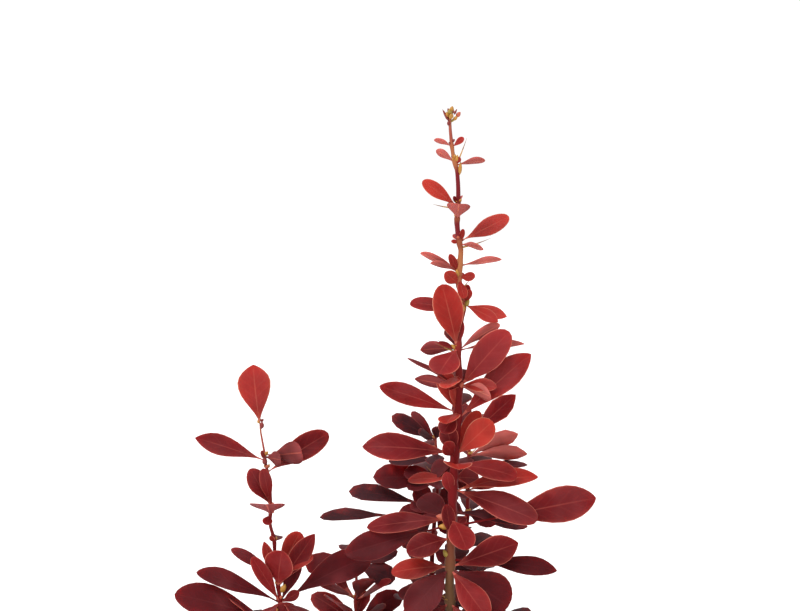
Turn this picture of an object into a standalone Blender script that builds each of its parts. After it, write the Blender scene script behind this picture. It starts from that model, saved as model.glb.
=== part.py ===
"""A young upright barberry shrub, rooted in level ground, with spoon-shaped red leaves in whorls.

Run with: blender --background --python part.py
Metres, +Z up. X runs to the right, -Y towards the viewer, and the origin is the middle of the cut under
the trunk. Each shoot is a bare cane, which rises from the crown of the trunk, and above it one mass: the
rest of the stem, its side twigs and its leaves, fused. Places and sizes in the tables are millimetres and
degrees; a facing is counted from +X towards +Y, and a rise from the horizontal.
"""

import math
import random
from collections import namedtuple

import bmesh
import bpy
from mathutils import Matrix, Quaternion, Vector
from mathutils.bvhtree import BVHTree

MM = 0.001
GAP = 0.3 * MM  # between solids that meet

# Trunk: a short stool, waisted above its root flare and swollen into a crown where the canes leave it
CROWN_R = 9.5 * MM
CROWN_Z = 25.0 * MM
WAIST_R, WAIST_Z = 8.0 * MM, 13.0 * MM
FLARE_R, FLARE_Z = 11.5 * MM, 3.0 * MM
LEAN = 0.06  # sideways run for each unit of height
ROOTS, ROOT_REACH, ROOT_R = 5, 15.0 * MM, 3.2 * MM
# The ridge of a root as (share of its reach, height, share of its radius), from waist to ground
ROOT_RIDGE = ((0.35, 17.0, 0.7), (0.62, 9.0, 1.0), (0.82, 3.0, 0.9), (1.0, -3.0, 0.6))
BELOW = -2.0 * MM  # how far the trunk is drawn on before it is cut at the ground
TRUNK_SIDES = 14

# Canes and stems
CANE_LENGTH = 26.0 * MM  # bare foot of every shoot, up to where its leaves begin
CANE_STEPS = 4
TAPER = 0.7
SIDE_TWIG_R = 0.5 * MM
SWAY, SWAY_LENGTH = 0.9 * MM, 72.0 * MM  # how far and how often a stem winds about its line
FOOT_PULL, TIP_PULL = 0.45, 0.95  # how long a stem keeps the bearing of its foot and of its tip
LINE_STEPS = 160
STEM_STEP = 16.0 * MM

# Whorls
TURN = 137.5  # from one leaf of a bud to the next, round the stem
WHORL_TURN = 82.0  # from one whorl to the next
FIRST_WHORL, WHORL_STEP = 5.0 * MM, 14.5 * MM  # distance from the tip, and spacing on the old wood
WHORL_LEAVES = (4, 5, 5, 6)
YOUNG_RISE, OLD_RISE, RANK_RISE = 48.0, 14.0, 4.0  # of a leaf; each next leaf of a bud stands steeper
RANK_LOSS = 0.09  # and is shorter by this share
SIDE_TWIG_FROM, SIDE_TWIG_ODDS = 50.0 * MM, 0.6  # how far below the tip side twigs begin, and how often
SIDE_TWIG_LENGTHS = (18.0 * MM, 38.0 * MM)
SIDE_BUDS = ((1, 0.65), (2, 0.6))  # point of the side twig, and its leaves' length as a share of the stem's

# Leaves
WIDTH_SHARE = 0.44  # of a leaf's length
BLADE_THICK = 0.6 * MM
ROOT_SPREAD = (0.25 * MM, 1.0 * MM)  # how far below its bud a leaf is rooted
SOLID_RANKS = 2  # leaves of a seeded whorl that are solid, longest first; the finished surface has them all
FEWER_SOLID = (0, 1, 0)  # how many fewer are solid, by the point of the side twig
LEAST_SOLID_LEAF = 5.0 * MM
REACH = 62.0 * MM  # of a mass, out from its stem
LEAF_CLEAR = 0.5 * MM
GROUND_CLEAR = 10.0 * MM
BUDS, BUD_R, BUD_SPREAD, BUD_STEP = 5, 1.3 * MM, 1.4 * MM, 1.6 * MM  # the opening cluster on the front shoot

Shoot = namedtuple("Shoot", "name facing rise tip lean foot_r tip_r leaf young seed")
# facing and rise of its foot on the crown; its tip; the lean of its tip; radii at foot and tip; longest leaf;
# how many millimetres of slender young growth its tip has lost; the seed of its leaves
SHOOTS = (
    Shoot("main", 20, 72, (20, 0, 416.3), (0.0, 0.0), 2.6, 0.5, 28, 0, 3),
    Shoot("left", 184, 50, (-53.3, -4, 299), (-0.2, 0.0), 1.6, 0.3, 28, 60, 5),
    Shoot("back_right", 62, 55, (29, 42, 295), (0.1, 0.05), 2.1, 0.4, 29, 70, 7),
    Shoot("back_left", 118, 58, (14, 45, 292), (-0.05, 0.05), 2.1, 0.4, 29, 70, 11),
    Shoot("rear_left", 148, 34, (-18, 36, 244), (-0.1, 0.1), 1.9, 0.4, 29, 70, 13),
    Shoot("far_left", 168, 14, (-82, 20, 188), (-0.2, 0.0), 1.8, 0.4, 27, 55, 18),
    Shoot("front_left", 224, 22, (-46, -48, 184), (-0.15, -0.15), 1.8, 0.4, 26, 55, 19),
    Shoot("front", 278, 30, (6, -56, 180), (0.0, -0.2), 1.8, 0.4, 26, 55, 23),
    Shoot("front_right", 322, 20, (62, -40, 188), (0.15, -0.15), 1.8, 0.4, 27, 55, 29),
    Shoot("right", 6, 22, (86, 14, 196), (0.2, 0.0), 1.8, 0.4, 27, 55, 32),
    Shoot("rear_right", 38, 14, (64, 62, 206), (0.15, 0.15), 1.8, 0.4, 27, 55, 37),
    Shoot("rear", 90, 18, (0, 88, 210), (0.0, 0.2), 1.8, 0.4, 27, 55, 41),
)

# The middle of the two front stems as (height, distance to the right), bent a little at every node
BENDS = {
    "main": (
        (412, 19.0), (405.5, 19.6), (399, 20.5), (396, 21.7), (389, 22.2), (382.5, 22.2), (375.5, 21.7),
        (369, 22.4), (365, 23.4), (360, 22.9), (354, 22.2), (346, 23.9), (343, 24.1), (336, 22.8),
        (327, 22.0), (313, 22.8), (303, 22.2), (286, 20.9), (270, 20.1), (255, 19.6), (240, 19.0),
    ),
    "left": (
        (296.5, -53.1), (289, -51.7), (283, -50.9), (277.5, -49.4), (268, -49.2),
        (260.5, -49.6), (255, -47.9), (245, -47.7), (236, -46.4), (230, -45.6),
    ),
}
BEND_FROM = 50.0  # how far below the lowest of these places the stem begins to follow them
FRONT_SHOOTS = ("main", "left")

# The uppermost whorls of the shoots that show: the height of each, then its leaves as
# (tip to the right of the stem, towards the viewer, above the node, width, how far its face turns from the
# sky to the front, the length of its spur if it has one, how pointed it is if that is known)
WHORLS = {
    "main": (
        (405, ((-6.8, 1, 2.1, 3.0, -40), (4.6, 1, 2.9, 2.6, 60))),
        (399, ((-6.9, 1, 4.2, 4.0, -40),)),
        (398.2, ((1.9, 0.8, 2.3, 2.2, 90), (11.6, 1, 1, 4.2, -40))),
        (
            382.5,
            (
                (-13.7, 1.5, 9, 5.8, 80, 0, 0.5),
                (-1.8, 1.5, 3.2, 1.8, 90),
                (-4, 1, 1, 1.0, 60),
                (0.4, -10, 3, 4.0, 10),
            ),
        ),
        (376.8, ((0.4, 7.4, 5.9, 9.2, 8, 0, 0.5),)),
        (
            368.3,
            (
                (19, 2, 9.6, 7.0, 85, 2, 0.5),
                (1.5, 1, 4.9, 2.2, 90),
                (9, 6, -2.7, 4.8, -40),
                (-3.2, 1, 0.2, 1.8, 80),
                (-0.6, -11, 3, 4.4, 10),
            ),
        ),
        (359.5, ((16, 1, 2, 5.4, -35),)),
        (357.2, ((-15, -1, 6.8, 5.0, -30), (-11.2, 3, 3.1, 4.2, -40), (-3.7, 2, 6.5, 3.2, 90))),
        (355.5, ((6.2, 4, -0.6, 4.2, 60), (2, 4, -8.8, 4.0, 70))),
        (352.3, ((-5.6, 4, 4.4, 5.4, 80), (0, -10, 4, 4.6, 45))),
        (345, ((13.6, 3, -7.3, 5.3, 70, 0, 0.9), (17, -2, -5.4, 5.4, 70, 0, 0.85))),
        (344, ((2.9, 1, 6.1, 3.0, 90), (1.9, -1, 8, 3.4, 90), (-1, -13, 4, 6.0, 45))),
        (342.5, ((-20.3, -4, 2.3, 6.5, 60),)),
        (
            327.5,
            (
                (-6.2, 4, 25, 11.7, 90),
                (1.5, 2, 11, 3.2, 60),
                (16.2, 0, 9.3, 6.0, -50, 0, 0.5),
                (26.1, -5, 1.5, 6.5, -35, 0, 0.9),
                (-14.5, -1, -0.6, 8.0, -60, 0, 0.9),
                (-7.5, 2, 2.5, 2.5, 60),
                (-2, -15, 8, 7.5, 45),
            ),
        ),
        (328.5, ((-7.5, 12, -10, 12.4, 0, 0, 0.45),)),
        (318, ((-5, 13, -4.8, 9.0, 0),)),
        (
            313.5,
            (
                (19, 5, 21, 12.6, 64, 0, 0.5),
                (-20.1, 2, 10.5, 4.5, 30),
                (-17.3, -1, 2.4, 7.5, -50, 0, 0.8),
                (14, 9, -0.2, 6.0, 60),
                (11.6, 12, -3.6, 7.4, -65, 0, 0.6),
                (-3.6, 6, -1.5, 4.0, 0),
                (4, -8, 5, 7.0, 60),
                (-3, -17, 5, 9.0, 45),
            ),
        ),
        (
            303.5,
            (
                (-30.2, 3, 9.9, 8.5, 60, 0, 0.7),
                (-4.8, 13, -3.8, 9.0, 0),
                (-6, 6, -8, 7.5, 60),
                (-6, -2, 16, 8.0, 90),
                (-2, 1, 11, 4.5, 90),
                (1, -19, 6, 10.0, 45),
            ),
        ),
        (301, ((28.1, 4, 25, 11.8, 60, 0, 0.8),)),
        (287.3, ((-35.8, 4, 2.9, 12.0, 70, 0, 0.85),)),
        (
            286.5,
            (
                (14.4, 3, 13.4, 10.5, 85, 0, 0.5),
                (9.5, -2, 17, 7.0, 80),
                (-3.5, 3, 12, 7.5, 90),
                (-4.2, 7, 5.5, 6.0, 80),
            ),
        ),
        (283.5, ((1.5, 17, -0.8, 11.4, 0), (24, 6, -4.9, 10.0, 55, 0, 0.45), (-9, -6, -4, 8.0, 60))),
        (278.5, ((-17.6, -3, -2, 6.5, 45), (10, -5, -1.5, 9.5, 60))),
        (274, ((32, 8, -11.8, 12.0, 60, 0, 0.45),)),
        (273, ((33.3, -3, 4.9, 10.0, 50, 0, 0.8),)),
        (270.5, ((-2.6, 2, 10, 5.0, 90),)),
        (265, ((27.6, -6, -4.5, 7.0, 60),)),
        (
            262.5,
            (
                (-32.6, 3, -3.5, 9.5, 50),
                (5.4, 16, -10.6, 10.4, 0, 0, 0.5),
                (-12, -16, 6, 10.0, 45),
            ),
        ),
        (260, ((-41, 4, -11, 12.0, 60, 9, 0.7),)),
        (259, ((56, 0, 11.2, 14.2, 85, 18, 0.75),)),
        (255, ((-17.3, 8, -5, 10.5, 60), (-2, 2, 13, 5.5, 90), (6, -17, 2, 8.0, 45))),
        (246.5, ((41.2, 0, -4.4, 9.0, 60, 9, 0.8),)),
        (244.2, ((26.2, 5, 9.4, 11.6, 85, 0, 0.85),)),
        (
            244,
            (
                (-22.8, 5, -2, 9.0, 55),
                (-16.3, 12, -17, 13.0, 60),
                (22.4, 6, -15, 17.5, 78),
                (14, 16, -18, 11.0, 60),
                (4, -19, 6, 10.0, 45),
            ),
        ),
        (
            231,
            (
                (-20, -8, 2, 9.0, 45),
                (20, -10, 2, 9.0, 45),
                (3, -20, 3, 10.0, 45),
                (-14, 12, -12, 10.0, 40),
                (10, 15, -14, 10.0, 40),
            ),
        ),
    ),
    "left": (
        (299, ((-2.6, 2, 23.1, 13.2, 90, 0, 0.85),)),
        (
            287,
            (
                (14.8, 13, 2.3, 9.2, -80, 0, 0.5),
                (6.5, 8, -0.9, 6.0, -80, 0, 0.5),
                (-1.5, 4, 1.5, 3.0, 60),
                (3, -14, -2, 6.0, 10),
            ),
        ),
        (286, ((-26.6, 2, 8, 8.8, 62, 0, 0.9),)),
        (281.5, ((23.6, -1, 14.2, 10.0, 70),)),
        (268, ((-7.8, 2, 14.2, 8.0, 85), (-2.8, 3, 14.5, 5.0, 90))),
        (264.8, ((-1.2, 12, 5, 13.8, 0, 0, 0.5), (-1.5, 3, -4, 4.0, 60))),
        (254, ((-1.5, 2, 2.5, 2.0, 80), (0.5, -12, 1, 5.0, 10))),
        (
            242,
            (
                (-4.6, 2, 12.5, 4.5, 85, 0, 0.9),
                (9.2, -3, 15.5, 8.0, 80),
                (14.3, 3, 6.6, 4.5, 60),
                (-17.2, 1, 9.3, 5.0, 50),
            ),
        ),
        (237, ((2, 7, 14.5, 12.5, 90), (14.2, 2, 20.4, 8.0, 60, 0, 0.9), (2, -17, 5, 9.0, 45))),
        (
            231,
            (
                (-32, 2, 11.6, 9.5, 50),
                (-10.5, 6, 18, 6.0, 80),
                (34.5, -14, 15.6, 13.8, 60, 4),
                (7.5, 3, 4, 4.5, 60),
                (7.3, -2, 16, 6.0, 80),
                (-8, 16, -6, 9.0, 10),
                (12, 14, -5, 9.0, 10),
            ),
        ),
        (223, ((-40.5, 4, 11.5, 14.0, 75, 5),)),
    ),
    "back_right": (
        (292, ((17.4, 2, 15.3, 9.0, 80, 0, 0.95), (-6, -8, 12, 8.0, 60), (3, -16, 6, 9.0, 45))),
        (
            283,
            (
                (19.8, 4, 9, 8.0, -70, 0, 0.95),
                (23.6, 2, 0.6, 8.0, -60, 0, 0.95),
                (-3, 10, -3.5, 8.0, 10),
                (-4, -17, 4, 9.0, 45),
            ),
        ),
        (277.5, ((24, 0, 1.6, 7.0, 30), (8, -17, 4, 9.0, 45), (-1.5, 12, -4.5, 11.0, 10))),
        (270, ((-1, 12, -3, 9.0, 10), (13, 2, 2, 4.5, 50), (-4.5, 4, 4.5, 6.0, 70))),
        (
            260,
            (
                (24, 2, -5.2, 8.0, 60),
                (11, 6, -4, 8.0, 40),
                (-5, 5, -4.5, 6.5, 40),
                (-10, -15, 2, 8.0, 60),
                (2, -20, 4, 9.0, 45),
            ),
        ),
        (246, ((12, -16, 3, 9.0, 45), (-4, -19, 4, 9.0, 45))),
        (234, ((10, -17, 4, 9.0, 45), (-9, -16, 3, 9.0, 60), (15, -6, -5, 8.0, 50))),
    ),
    "back_left": (
        (
            289.5,
            (
                (-17.6, 3, 9.2, 7.0, 70),
                (-9.6, -4, 10.4, 4.5, 80),
                (-7, 8, 2.6, 6.0, 60),
                (1.5, 3, 5, 5.5, 80),
                (9, -14, 6, 9.0, 45),
            ),
        ),
        (284, ((-1, 10, -4.5, 8.0, 10),)),
        (281.5, ((-19.6, 4, -1.1, 9.0, 60), (-6, -16, 5, 9.0, 45))),
        (
            273.5,
            (
                (-26, 4, 0.7, 12.0, 75),
                (0, 12, -3, 9.5, 10),
                (-12, 8, -4, 9.0, 30),
                (-8, -19, 4, 9.0, 45),
                (10, -10, 4, 8.0, 60),
                (-14, 6, 2, 9.0, 60),
            ),
        ),
        (
            262,
            (
                (-35, 2, 6.5, 9.5, 45, 6),
                (0, 13, -4, 10.0, 0),
                (-15, 6, -3, 8.0, 60),
                (4, -19, 5, 9.0, 45),
                (-10, 8, 0, 8.0, 50),
                (-9, 6, 8, 9.0, 60),
                (8, 4, 8, 8.0, 70),
            ),
        ),
        (
            259.2,
            (
                (-46.2, 0, -1.4, 7.6, 42, 18),
                (-13, 4, -13, 8.0, 60),
                (7.5, 5, -7, 8.0, 60),
                (9, -17, 4, 9.0, 45),
            ),
        ),
        (246, ((-8, 12, -3, 10.0, 10), (8, 6, -5.5, 9.0, 40), (-2, -18, 4, 9.0, 45))),
        (236, ((-6, 14, -3, 10.0, 10), (12, 6, -2, 9.0, 40), (-10, -14, 3, 9.0, 45))),
    ),
    "rear_left": (
        (
            241,
            (
                (-20, 2, -1, 10.0, 75),
                (3, -4, 6, 6.0, 70),
                (17, 2, 4.6, 6.5, 65),
                (16, 3, -6.6, 9.6, 70),
                (-4, -16, 5, 9.0, 45),
            ),
        ),
    ),
}

Leaf = namedtuple("Leaf", "root chord up length width arch fold widest point rank")
Twig = namedtuple("Twig", "points radii")
Growth = namedtuple("Growth", "cane stem twigs leaves")
Bud = namedtuple("Bud", "place bearing")


def polar(facing, rise):
    """The unit vector with that facing and rise, in degrees."""
    f, r = math.radians(facing), math.radians(rise)
    return Vector((math.cos(f) * math.cos(r), math.sin(f) * math.cos(r), math.sin(r)))


def leaned(point):
    """The point carried along with the trunk's lean."""
    return Vector((point.x + LEAN * point.z, point.y, point.z))


def smooth(x):
    """0 below 0, 1 above 1, and an even S between."""
    x = min(max(x, 0.0), 1.0)
    return x * x * (3 - 2 * x)


def between(pairs, height):
    """Straight interpolation in pairs of (height, value) that go downwards."""
    for (high, a), (low, b) in zip(pairs, pairs[1:]):
        if height >= low:
            return a + (b - a) * min(max((high - height) / (high - low), 0.0), 1.0)
    return pairs[-1][1]


# The growth rule

def stem_line(shoot):
    """Points and lengths along the whole stem: a Hermite curve from foot to tip, with a slight sway."""
    centre = Vector((0, 0, CROWN_Z))
    foot = leaned(centre + polar(shoot.facing, shoot.rise) * (CROWN_R + GAP))
    bearing = (foot - leaned(centre)).normalized()
    tip = Vector(shoot.tip) * MM
    span = (tip - foot).length
    end = Vector((*shoot.lean, 1)).normalized()
    points = []
    for i in range(LINE_STEPS + 1):
        t = i / LINE_STEPS
        points.append(
            foot * (2 * t**3 - 3 * t**2 + 1)
            + bearing * (span * FOOT_PULL * (t**3 - 2 * t**2 + t))
            + tip * (3 * t**2 - 2 * t**3)
            + end * (span * TIP_PULL * (t**3 - t**2))
        )
    lengths = [0.0]
    for a, b in zip(points, points[1:]):
        lengths.append(lengths[-1] + (b - a).length)
    total = lengths[-1]
    for i, s in enumerate(lengths):
        swing = SWAY * smooth(s / CANE_LENGTH - 1) * smooth((total - s) / (20 * MM))
        angle = 2 * math.pi * s / SWAY_LENGTH + shoot.seed
        points[i] = points[i] + Vector((math.sin(angle), math.cos(0.8 * angle), 0)) * swing
    bends = BENDS.get(shoot.name)
    if bends:
        for point in points:
            share = smooth((point.z / MM - bends[-1][0]) / BEND_FROM + 1)
            point.x += (between(bends, point.z / MM) * MM - point.x) * share
    return points, lengths


def along(line, s):
    """The place and the bearing of a line at length s."""
    points, lengths = line
    s = min(max(s, 0.0), lengths[-1])
    i = next(k for k in range(1, len(lengths)) if lengths[k] >= s - 1e-12)
    share = (s - lengths[i - 1]) / (lengths[i] - lengths[i - 1])
    bearing = (points[i] - points[i - 1]).normalized()
    return Bud(points[i - 1].lerp(points[i], share), bearing)


def length_at(line, height):
    """The length along a line at which it reaches a height."""
    for (low, start), (high, end) in zip(zip(*line), list(zip(*line))[1:]):
        if high.z >= height:
            return start + (end - start) * (height - low.z) / (high.z - low.z)
    return line[1][-1]


def stem_radius(shoot, line, s):
    """Thickest at the foot and slender at the tip."""
    left = max(1 - s / line[1][-1], 0.0)
    return (shoot.tip_r + (shoot.foot_r - shoot.tip_r) * left**TAPER) * MM


def stretch(shoot, line, start, end, steps):
    """The stretch of a stem between two lengths, as a twig."""
    stations = [start + (end - start) * i / steps for i in range(steps + 1)]
    return Twig([along(line, s).place for s in stations], [stem_radius(shoot, line, s) for s in stations])


def leaf_length(shoot, from_tip):
    """Short on young growth, longest a hand's breadth down, shorter again on old wood."""
    s = from_tip / MM + shoot.young
    return shoot.leaf * MM * (0.2 + 0.8 * smooth(s / 105)) * (1 - 0.2 * smooth((s - 170) / 140))


def make_leaf(rng, bud, reach, width, turn, front, rank=0):
    """One leaf of a bud, whose tip lies at reach, with its face turned from the sky towards front."""
    roll, drop = rng.gauss(0, 7), rng.uniform(*ROOT_SPREAD)
    reach = reach + bud.bearing * drop
    chord = reach.normalized()
    t = math.radians(turn)
    light = Vector((0, 0, 1)) * math.cos(t) + front * math.sin(t)
    up = (light - chord * light.dot(chord)).normalized()
    up.rotate(Quaternion(chord, math.radians(roll)))
    return Leaf(
        root=bud.place - bud.bearing * drop,
        chord=chord,
        up=up,
        length=reach.length,
        width=width,
        arch=math.radians(rng.uniform(6, 34)),
        fold=math.radians(rng.uniform(4, 13)),
        widest=rng.uniform(0.61, 0.72),
        point=rng.uniform(0.45, 0.65),
        rank=rank,
    )


def blade_point(leaf, v, across, below=0.0, grow=0.0):
    """A point of a leaf: v from its root to its tip, across from edge to edge, and below its face.

    The midrib is an arc that turns by leaf.arch, and the two halves rise from it by leaf.fold.
    """
    start = leaf.arch / 2
    side = leaf.chord.cross(leaf.up)
    ahead = leaf.chord * math.cos(start) + leaf.up * math.sin(start)
    face = leaf.up * math.cos(start) - leaf.chord * math.sin(start)
    angle = leaf.arch * v
    rib = ahead * (math.sin(angle) / leaf.arch) - face * ((1 - math.cos(angle)) / leaf.arch)
    normal = face * math.cos(angle) + ahead * math.sin(angle)
    half = across * (leaf.width / 2 * outline(v, leaf) + grow)
    rise = abs(half) * math.sin(leaf.fold) - below
    return leaf.root + rib * (leaf.length + grow) + side * (half * math.cos(leaf.fold)) + normal * rise


def keel_point(leaf, grow=0.0):
    """The lowest point of the back, under the midrib."""
    return blade_point(leaf, KEEL, 0, BLADE_THICK / 2 + grow, grow)


def outline(v, leaf):
    """Half width of a spoon-shaped blade as a share of its widest.

    From the root it rises as a raised cosine; beyond the widest place it closes as
    1 - u**2 to the power leaf.point, where u runs from 0 there to 1 at the tip.
    """
    if v < leaf.widest:
        return 0.5 - 0.5 * math.cos(math.pi * max(v, 0.0) / leaf.widest)
    u = min((v - leaf.widest) / (1 - leaf.widest), 1.0)
    return (1 - u * u) ** leaf.point


# Corners of a leaf's rim as (from root to tip, from edge to edge), and how far along its keel is deepest
RIM = ((1.0, 0), (0.78, 1), (0.44, 1), (0.0, 0), (0.44, -1), (0.78, -1))
KEEL = 0.62


def leaf_hull(leaf, grow=0.0):
    """Corners and faces of a leaf's solid, grown by a clearance."""
    points = [blade_point(leaf, v, across, 0, grow) for v, across in RIM] + [keel_point(leaf, grow)]
    faces = [(0, 1, 5), (1, 2, 4), (1, 4, 5), (2, 3, 4)] + [((k + 1) % 6, k, 6) for k in range(6)]
    return points, faces


def twig_hull(twig, grow=0.0):
    """Corners and faces of a three-sided twig, a little larger than life."""
    points, faces = [], []
    for i, p in enumerate(twig.points):
        ahead = (twig.points[min(i + 1, len(twig.points) - 1)] - twig.points[max(i - 1, 0)]).normalized()
        side = ahead.orthogonal().normalized()
        for k in range(3):
            arm = side.copy()
            arm.rotate(Quaternion(ahead, 2 * math.pi * k / 3))
            points.append(p + arm * (1.6 * twig.radii[i] + grow))
        if i:
            a = 3 * i - 3
            faces += [(a + k, a + (k + 1) % 3, a + 3 + (k + 1) % 3, a + 3 + k) for k in range(3)]
    return points, faces


class Space:
    """What each shoot has filled so far, so that the next keeps clear of it."""

    def __init__(self, fixed):
        self.trees = {name: [BVHTree.FromPolygons(*hull)] for name, hull in fixed.items()}

    def free(self, name, hull):
        """Whether a hull touches nothing of any other shoot and stands above the ground."""
        if min(p.z for p in hull[0]) < GROUND_CLEAR:
            return False
        tree = BVHTree.FromPolygons(*hull)
        return not any(
            tree.overlap(other)
            for owner, trees in self.trees.items()
            if owner != name
            for other in trees
        )

    def fill(self, name, hulls):
        self.trees.setdefault(name, []).extend(BVHTree.FromPolygons(*hull) for hull in hulls)


def whorl(rng, shoot, bud, facing, from_tip, front, share=1.0, count=None):
    """The leaves of one bud, set round the stem, each a little shorter than the one before."""
    longest = leaf_length(shoot, from_tip) * share
    age = smooth((from_tip / MM + shoot.young) / 140)
    leaves = []
    for k in range(count or rng.choice(WHORL_LEAVES)):
        chord = polar(
            facing + TURN * k + rng.gauss(0, 10),
            YOUNG_RISE + (OLD_RISE - YOUNG_RISE) * age + RANK_RISE * k + rng.gauss(0, 10),
        )
        length = longest * (1 - RANK_LOSS * k) * rng.uniform(0.85, 1.08)
        width = length * WIDTH_SHARE * rng.uniform(0.9, 1.12)
        leaves.append(make_leaf(rng, bud, chord * length, width, rng.gauss(30, 18), front, k))
    return leaves


def grow(shoot, line, space):
    """The side twigs and leaves of one shoot, by its seed."""
    rng = random.Random(shoot.seed)
    total = line[1][-1]
    drawn = WHORLS.get(shoot.name, ())
    outward = Vector((shoot.tip[0], shoot.tip[1], 0)).normalized()
    front = Vector((0, -1, 0)) if drawn else outward
    twigs, leaves = [], []

    def take(candidates):
        for leaf in candidates:
            near = (blade_point(leaf, 1.0, 0) - along(line, total - from_tip).place).length < REACH
            if near and space.free(shoot.name, leaf_hull(leaf, LEAF_CLEAR)):
                leaves.append(leaf)

    def side_twig(bud, out, on, length):
        middle = bud.place + out * (0.5 * length)
        end = middle + on * (0.5 * length)
        twig = Twig([bud.place, middle, end], [SIDE_TWIG_R, 0.9 * SIDE_TWIG_R, 0.8 * SIDE_TWIG_R])
        if not space.free(shoot.name, twig_hull(twig, LEAF_CLEAR)):
            return None
        twigs.append(twig)
        return twig

    from_tip = FIRST_WHORL
    for height, sizes in drawn:
        s = length_at(line, height * MM)
        from_tip = total - s
        for right, near, above, width, turn, *rest in sizes:
            spur, point = (*rest, 0, 0)[:2]
            bud = along(line, s)
            target = bud.place + Vector((right, -near, above)) * MM
            if spur:
                aim = (target - bud.place).normalized()
                twig = side_twig(bud, aim, aim, spur * MM)
                bud = twig and Bud(twig.points[2], aim)
            if bud:
                leaf = make_leaf(rng, bud, target - bud.place, width * MM, turn, front)
                take([leaf._replace(point=point or leaf.point)])
    if drawn:
        from_tip += WHORL_STEP
    facing = rng.uniform(0, 360)
    while total - from_tip > CANE_LENGTH + 6 * MM:
        bud = along(line, total - from_tip)
        take(whorl(rng, shoot, bud, facing, from_tip, front))
        if from_tip > SIDE_TWIG_FROM and rng.random() < SIDE_TWIG_ODDS:
            rise = rng.uniform(30, 50)
            out, on = polar(facing + 70, rise), polar(facing + 70, rise + 15)
            twig = side_twig(bud, out, on, rng.uniform(*SIDE_TWIG_LENGTHS))
            for k, part in SIDE_BUDS if twig else ():
                bearing = (twig.points[k] - twig.points[k - 1]).normalized()
                side_bud = Bud(twig.points[k], bearing)
                made = whorl(rng, shoot, side_bud, facing + 70 + 90 * k, from_tip, front, part, 4)
                take([leaf._replace(rank=leaf.rank + FEWER_SOLID[k]) for leaf in made])
        facing += WHORL_TURN + rng.gauss(0, 8)
        from_tip += WHORL_STEP * (0.55 + 0.45 * smooth(from_tip / (60 * MM))) * rng.uniform(0.85, 1.15)
    return twigs, leaves


def grow_all():
    """Every shoot's cane, stem, twigs and leaves, each clear of the ones before."""
    lines = {shoot.name: stem_line(shoot) for shoot in SHOOTS}
    stems, canes = {}, {}
    for shoot in SHOOTS:
        line = lines[shoot.name]
        start, end = CANE_LENGTH + GAP, line[1][-1]
        canes[shoot.name] = stretch(shoot, line, 0.0, CANE_LENGTH, CANE_STEPS)
        stems[shoot.name] = stretch(shoot, line, start, end, round((end - start) / STEM_STEP))
    space = Space({name: twig_hull(twig) for name, twig in stems.items()})
    for name, twig in canes.items():
        space.fill(name + "_cane", [twig_hull(twig)])
    top = leaned(Vector((0, 0, CROWN_Z + CROWN_R)))
    space.fill("trunk", [twig_hull(Twig([Vector(), top], [CROWN_R, CROWN_R]))])
    growths = {}
    for shoot in SHOOTS:
        twigs, leaves = grow(shoot, lines[shoot.name], space)
        space.fill(shoot.name, [twig_hull(t) for t in twigs] + [leaf_hull(l) for l in leaves])
        growths[shoot.name] = Growth(canes[shoot.name], stems[shoot.name], twigs, leaves)
    return growths


# Solids

def material(name, colour, roughness):
    made = bpy.data.materials.new(name)
    made.use_nodes = True
    shader = made.node_tree.nodes["Principled BSDF"]
    shader.inputs["Base Color"].default_value = (*colour, 1)
    shader.inputs["Roughness"].default_value = roughness
    return made


def add_mesh(name, mesh, group):
    made = bpy.data.objects.new(name, mesh)
    group.objects.link(made)
    return made


def as_mesh(source, group):
    """A mesh object in place of a curve or a modified object."""
    graph = bpy.context.evaluated_depsgraph_get()
    mesh = bpy.data.meshes.new_from_object(source.evaluated_get(graph))
    name = source.name
    bpy.data.objects.remove(source)
    return add_mesh(name, mesh, group)


def weld(made):
    """Closes the seams of caps and turned profiles, and faces the surface outwards."""
    bm = bmesh.new()
    bm.from_mesh(made.data)
    bmesh.ops.remove_doubles(bm, verts=bm.verts, dist=1e-6)
    bmesh.ops.recalc_face_normals(bm, faces=bm.faces)
    bm.to_mesh(made.data)
    bm.free()
    return made


def tube(name, twig, group, section=None):
    """A tapering limb along the twig: round, or with the section of a guide curve."""
    data = bpy.data.curves.new(name, "CURVE")
    data.dimensions = "3D"
    data.use_fill_caps = True
    if section:
        data.bevel_mode = "OBJECT"
        data.bevel_object = section
    else:
        data.bevel_depth = 1.0
        data.bevel_resolution = 1
    spline = data.splines.new("POLY")
    spline.points.add(len(twig.points) - 1)
    for point, place, radius in zip(spline.points, twig.points, twig.radii):
        point.co = (*place, 1)
        point.radius = radius
    made = bpy.data.objects.new(name, data)
    group.objects.link(made)
    bpy.context.view_layer.update()
    return weld(as_mesh(made, group))


def section_guide(name, sides, group):
    """The guide that gives stems and twigs flat sides."""
    data = bpy.data.curves.new(name, "CURVE")
    spline = data.splines.new("POLY")
    spline.points.add(sides - 1)
    spline.use_cyclic_u = True
    for k, point in enumerate(spline.points):
        angle = 2 * math.pi * k / sides
        point.co = (1.15 * math.cos(angle), 1.15 * math.sin(angle), 0, 1)
    made = bpy.data.objects.new(name, data)
    made.hide_render = True
    made.display_type = "WIRE"
    group.objects.link(made)
    return made


def leaf_solid(name, leaf, group):
    """A thin blade: a bowed and folded face of six corners, lofted down to the keel of its back."""
    mesh = bpy.data.meshes.new(name)
    corners, faces = leaf_hull(leaf)
    mesh.from_pydata(corners, [], faces)
    return add_mesh(name, mesh, group)


def bud_solid(name, centre, group):
    bm = bmesh.new()
    bmesh.ops.create_uvsphere(bm, u_segments=6, v_segments=4, radius=BUD_R, matrix=Matrix.Translation(centre))
    mesh = bpy.data.meshes.new(name)
    bm.to_mesh(mesh)
    bm.free()
    return add_mesh(name, mesh, group)


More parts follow.
